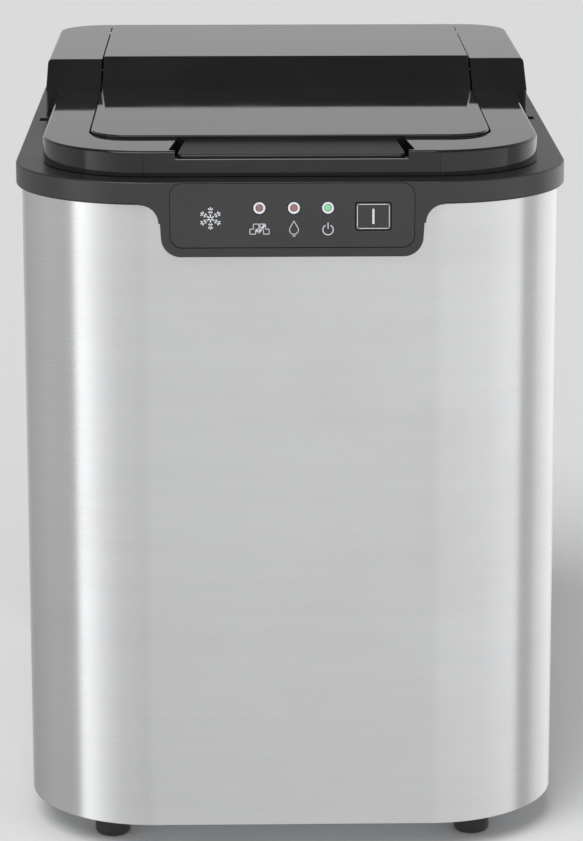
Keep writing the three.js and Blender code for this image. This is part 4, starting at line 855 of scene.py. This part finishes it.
COVER_WALL = 0.0025
COVER_HALF = 0.109
COVER_ROLL = 0.048
LID_GAP = 0.001
HINGE_GAP = 0.0015
LID_PROUD = 0.0013
HUMP_ROLL = 0.024
GRIP_FLARE = 0.0035
TOE, CREST = 0.007, 0.030
cover_low, cover_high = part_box("top_cover")
lid_low, lid_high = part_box("lid_shell")
handle_low, handle_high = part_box("lid_handle")
lid_level = handle_high.z + 0.002
cover_level, cover_top = lid_level - LID_PROUD, cover_high.z - LID_PROUD
hinge_y, hinge_z = lid_high.y - 0.004, lid_high.z - 0.004


def cover_body(wall, base):
    """The cover's outside, moved inwards and downwards by a wall."""
    low = tub("cover", (wall - COVER_HALF, cover_low.y + wall, base),
              (COVER_HALF - wall, CREST, cover_level - wall), COVER_ROLL - wall, 0, 26)
    hump = tub("hump", (cover_low.x + wall, TOE + wall, base),
               (cover_high.x - wall, cover_high.y - wall, cover_top - wall), 0.001, HUMP_ROLL - wall, 14)
    cut(hump, ramp_cutter("slope", 0.13, -0.02, TOE + wall, CREST + wall / 2, cover_level - wall,
                          cover_top - wall, cover_high.z + 0.01))
    if not wall:
        round_edges(low, 0.0014, 4, lambda at, way: at.z > cover_level - 1e-5 and at.y < CREST - 0.001)
        round_edges(hump, 0.0016, 4, lambda at, way: at.z > cover_top - 1e-4 and at.y > CREST + 0.001)
    return shape(low, "UNION", hump)


def lid_room(out, base, top):
    """The opening that the lid drops into."""
    low = (lid_low.x - LID_GAP - out, lid_low.y - LID_GAP - out, base)
    high = (lid_high.x + LID_GAP + out, lid_high.y + HINGE_GAP + out, top)
    return tub("lid_room", low, high, 0.019 + out, 0, 10)


def grip_room(out, base, top):
    """The pocket round the pull tab, wider at its front."""
    wide = 0.053 + out
    first, last = lid_low.y - 0.033 - out, lid_low.y + 0.002
    outline = [(-wide, first), (wide, first), (wide - GRIP_FLARE, last), (GRIP_FLARE - wide, last)]
    made = drawn("grip_room", "xy", outline, base, top)
    return round_edges(made, 0.003, 4, lambda at, way: abs(way.z) > 0.9 and at.y < first + 0.001)


cover = cover_body(0, cover_low.z)
hollow = cover_body(COVER_WALL, cover_low.z - 0.001)
cut(hollow, lid_room(0.002, cover_low.z + 0.0027, cover_high.z + 0.001),
    grip_room(0.002, cover_low.z - 0.002, cover_high.z))
cut(cover, hollow, lid_room(0, cover_low.z - 0.001, cover_high.z + 0.001),
    grip_room(0, cover_low.z + 0.002, cover_high.z))
MOUTH_HALF = 0.050
cut(cover, box("tab_mouth", (-MOUTH_HALF, front, lid_level - 0.005),
               (MOUTH_HALF, cover_low.y + 0.003, cover_high.z)))
for side in (-1, 1):
    x = side * (lid_high.x + LID_GAP)
    cut(cover, rod("pin_bore", (x - 0.004, hinge_y, hinge_z), (x + 0.004, hinge_y, hinge_z), 0.002, 24))
    seam = side * 0.0635
    cut(cover, box("mould_seam", (seam - 0.00012, front, cover_low.z - 0.001),
                   (seam + 0.00012, cover_low.y + 0.00022, cover_level - 0.0012)))
soften(cover, 0.0003, 4, 24)
gloss = piano_black()
fit(cover, gloss, "cabinet", "black_gloss", "top_cover")

# Lid: a stepped glossy shell that follows the cover's line, with a rounded rear edge that turns on two
# steel pins. A grey liner closes it below, and the pull tab stands out of its front edge.
LID_ROLL = 0.018
LID_WALL = 0.0025
SKIRT = 0.007


def lid_body(side, name, drop, depth):
    """A slab that follows the lid's stepped line: its sides in, its top down by a drop, and its depth."""
    first, last = lid_low.y + side, lid_high.y - (side and 0.0105)
    made = tub(name, (lid_low.x + side, first, lid_low.z - 0.01),
               (lid_high.x - side, last, lid_high.z - drop), LID_ROLL - side, 0, 14)
    cut(made, ramp_cutter("slope", 0.12, -0.2, TOE + drop * 0.16, CREST + drop * 0.16, lid_level - drop,
                          lid_high.z - drop, lid_high.z + 0.01))
    if not side:
        round_edges(made, 0.0007, 4,
                    lambda at, way: abs(at.z - lid_level) < 1e-5 and at.y < lid_low.y + LID_ROLL)
    low = lid_level - drop - depth
    high = lid_high.z - drop - depth
    below = [(-0.2, -0.05), (0.2, -0.05), (0.2, high), (CREST, high), (TOE, low), (-0.2, low)]
    return cut(made, drawn("below", "yz", below, -0.12, 0.12))


lid = lid_body(0, "lid", 0, SKIRT)
barrel = rod("barrel", (lid_low.x, hinge_y, hinge_z), (lid_high.x, hinge_y, hinge_z), 0.004, 64)
cut(lid, box("hinge_cut", (lid_low.x - 0.001, hinge_y, 0.29), (lid_high.x + 0.001, 0.2, 0.34)))
shape(lid, "UNION", barrel)
inside = lid_body(LID_WALL, "lid_inside", LID_WALL, SKIRT + 0.005)
cut(lid, inside)
for side in (-1, 1):
    tip = side * (lid_high.x + 0.001)
    root = side * (lid_high.x - 0.0082)
    cut(lid, rod("pin_bore", (root, hinge_y, hinge_z), (tip, hinge_y, hinge_z), 0.0021, 24))
soften(lid, 0.0004, 4, 24)
fit(lid, gloss, "lid", "black_gloss", "lid_shell")
liner_grey = moulded("liner_grey", (0.2, 0.205, 0.21), (0.27, 0.275, 0.28), 0.42, 0.55, 0.00005, 1300.0, 0.2)
refined("lid_liner", liner_grey, "lid", "liner_grey", 0.0005)

# Pull tab: a separate satin moulding clipped to the lid's front edge, sloping down to a lip that stands
# over the pocket in the cover.
reach_front, reach_rear = handle_low.y, handle_high.y
tab_side = [(reach_front, handle_low.z), (reach_front, handle_low.z + 0.003), (reach_rear, handle_high.z),
            (reach_rear, handle_high.z - 0.003)]
tab = drawn("pull_tab", "yz", tab_side, handle_low.x, handle_high.x)
tab_plan = [(handle_low.x, reach_front), (handle_high.x, reach_front),
            (handle_high.x - GRIP_FLARE, reach_rear + 0.001), (handle_low.x + GRIP_FLARE, reach_rear + 0.001)]
plan = drawn("plan", "xy", tab_plan, 0.3, 0.32)
round_edges(plan, 0.003, 6, lambda at, way: abs(way.z) > 0.9 and at.y < reach_front + 0.001)
shape(tab, "INTERSECT", plan)
round_edges(tab, 0.0009, 4, lambda at, way: abs(way.x) > 0.5 and at.y < reach_front + 0.004)
soften(tab, 0.0004, 3)
fit(tab, satin, "lid", "black_satin", "lid_handle")

# Hinge pins: two short steel pins pressed into the cover, on which the lid's rear edge turns. They are
# plain drawn wire with broken ends.
for name in ("lid_pin_left", "lid_pin_right"):
    refined(name, screw_steel, "cabinet", "screw_steel", 0.0003)

# Water tank: one white moulded tub that hangs by its flange in the frame. Ribs on its floor and walls
# carry the basket, and the pump, the float and the drain stand in its rear.
tank_white = moulded("tank_white", (0.68, 0.7, 0.71), (0.8, 0.81, 0.82), 0.3, 0.42, 0.00003, 700.0, 0.12,
                     Subsurface_Weight=0.06)
refined("water_tank", tank_white, "cabinet", "tank_white", 0.0005, 3)

# Ice basket: a clear moulded basket with slots for the melt water. It stands on the tank's ribs and
# lifts straight out.


def clear_plastic(name, dark, pale, haze):
    """Clear moulded plastic, hazed by fine scratches where the ice rubs."""
    made, tree, surface, place = finish(name, Transmission_Weight=0.82, IOR=1.49)
    marks = placed(tree, MARKS, place, Amount=0.8)
    wear = maths(tree, "MAXIMUM", marks["Dust"], marks["Scratches"])
    coat(tree, surface, blend(tree, marks["Dust"], pale, dark), between(tree, wear, haze, haze + 0.3),
         marks["Scratches"], 0.3, 0.00008)
    return made


refined("ice_basket", clear_plastic("basket_clear", (0.72, 0.76, 0.78), (0.86, 0.9, 0.92), 0.12),
        "basket", "basket_clear", 0.0005, 3)

# Ice sensors: an infrared sender and receiver in small black housings, clipped to the tank's sides above
# the basket.
housing_black = moulded("housing_black", (0.012, 0.012, 0.013), (0.03, 0.03, 0.032), 0.38, 0.5, 0.00004,
                        1500.0, 0.2)
for name in ("ice_sensor_left", "ice_sensor_right"):
    refined(name, housing_black, "cabinet", "black_satin", 0.0004, 3)

# Ice chute and shovel: a sloping white shelf under the freezing tray, and the comb that pushes the
# finished ice forward over its edge into the basket.
refined("ice_chute", tank_white, "cabinet", "tank_white", 0.0004, 3)
refined("ice_shovel", tank_white, "shovel", "tank_white", 0.0004, 3)

# Pump, hose and float: a black submerged pump at the tank's rear, a milky silicone hose up to the tray,
# and a ring float that rises on its stem as the tank fills.
refined("water_pump", housing_black, "cabinet", "motor_case", 0.0006, 3)


def silicone():
    made, tree, surface, place = finish("silicone", Transmission_Weight=0.35, IOR=1.41)
    cloud = noise(tree, place, 160.0, 4.0)
    colour = blend(tree, cloud, (0.62, 0.64, 0.63), (0.82, 0.84, 0.83))
    coat(tree, surface, colour, between(tree, cloud, 0.28, 0.45), cloud, 0.15, 0.0001)
    return made


milky = silicone()
refined("pump_hose", milky, "cabinet", "hose_silicone", 0, 1, 50)
refined("drain_hose", milky, "cabinet", "hose_silicone", 0, 1, 50)
refined("float_stem", tank_white, "cabinet", "tank_white", 0.0003, 2)
float_foam = moulded("float_foam", (0.6, 0.6, 0.58), (0.76, 0.76, 0.74), 0.55, 0.7, 0.00012, 900.0, 0.1)
refined("float_ring", float_foam, "float", "tank_white", 0.0006, 3)

# Freezing unit: a white trough that tips on a shaft and a pin, and over it the cold block, whose nine
# plated fingers hang into the water. A bent steel strap carries the block from side to side.


def plated_metal(name, dark, pale, low, high, scale=420.0):
    """Plated or bare metal, mottled a little in tone and polish."""
    made, tree, surface, place = finish(name, metallic=1.0)
    mottle = noise(tree, place, scale, 5.0)
    rough = between(tree, mottle, low, high)
    coat(tree, surface, blend(tree, mottle, dark, pale), rough, mottle, 0.12, 0.0001)
    return made


refined("freezing_tray", tank_white, "tray", "tank_white", 0.0004, 3)
refined("tray_shaft", screw_steel, "tray", "screw_steel", 0.0003, 3)
refined("tray_pin", screw_steel, "cabinet", "screw_steel", 0.0003, 3)
nickel = plated_metal("nickel_plate", (0.48, 0.47, 0.44), (0.66, 0.65, 0.61), 0.16, 0.34)
refined("evaporator", nickel, "cabinet", "cold_metal", 0.0004, 3, 46)
refined("evaporator_bracket", plated_zinc(), "cabinet", "bracket_steel", 0.0004)
refined("tray_motor", housing_black, "cabinet", "motor_case", 0.0006, 3)

# Compressor: a black-painted welded steel can on a pressed base, standing on three rubber grommets. A
# moulded cover shuts in its terminals.
enamel = moulded("black_enamel", (0.01, 0.01, 0.011), (0.024, 0.024, 0.026), 0.24, 0.4, 0.00012, 300.0, 0.4,
                 Coat_Weight=0.3, Coat_Roughness=0.15)
refined("compressor", enamel, "cabinet", "compressor_paint", 0.0008, 3, 46)
refined("compressor_base", enamel, "cabinet", "compressor_paint", 0.0005, 3)
refined("terminal_cover", housing_black, "cabinet", "black_texture", 0.0008, 3)
for name in ("compressor_grommet_left", "compressor_grommet_right", "compressor_grommet_rear"):
    refined(name, rubber, "cabinet", "foot_rubber", 0.0004, 3)

# Condenser and fan: an aluminium fin block, and behind it a dark grey moulded shroud with the fan's
# motor on three arms. The five-bladed fan blows out through the rear grille.
aluminium = plated_metal("fin_aluminium", (0.6, 0.61, 0.62), (0.78, 0.79, 0.8), 0.3, 0.46, 900.0)
refined("condenser", aluminium, "cabinet", "fin_aluminium", 0.0001, 1)
refined("fan_motor", plated_zinc(), "cabinet", "motor_case", 0.0006, 3, 46)
fan_grey = moulded("fan_grey", (0.05, 0.052, 0.055), (0.085, 0.087, 0.09), 0.4, 0.55, 0.00006, 1100.0, 0.35)
refined("fan_shroud", fan_grey, "cabinet", "fan_plastic", 0.0005, 3)
refined("fan_blade", fan_grey, "fan", "fan_plastic", 0.0003, 2)

# Refrigerant lines: drawn copper, bent cold and brazed at each joint, with a swaged copper drier between
# the condenser and the capillary.
copper = plated_metal("drawn_copper", (0.5, 0.2, 0.11), (0.8, 0.42, 0.28), 0.2, 0.42, 90.0)
for name in ("filter_drier", "discharge_line", "liquid_line", "capillary_line", "suction_line"):
    refined(name, copper, "cabinet", "copper_pipe", 0, 1, 50)

# Drain plug: a moulded rubber plug with ribs and a pull. It is pushed into the hose's socket at the
# rear.
refined("drain_plug", rubber, "plug", "foot_rubber", 0.0005, 3)

# Circuit boards: green glass-fibre boards with their parts soldered on, one clipped behind the label
# and one beside the tank.


def green_board():
    made, tree, surface, place = finish("green_board", roughness=0.35)
    tracks = wire(tree, "ShaderNodeTexVoronoi", (0, place), ("Scale", 330.0), distance="MANHATTAN",
                  feature="DISTANCE_TO_EDGE").outputs["Distance"]
    lines = wire(tree, "ShaderNodeMapRange", (0, tracks), (1, 0.02), (2, 0.05)).outputs[0]
    colour = blend(tree, lines, (0.03, 0.16, 0.07), (0.008, 0.065, 0.03))
    coat(tree, surface, colour, between(tree, lines, 0.42, 0.26), lines, 0.2, 0.00005)
    return made


board = green_board()
refined("control_board", board, "cabinet", "board_green", 0.0002)
refined("main_board", board, "cabinet", "board_green", 0.0002)
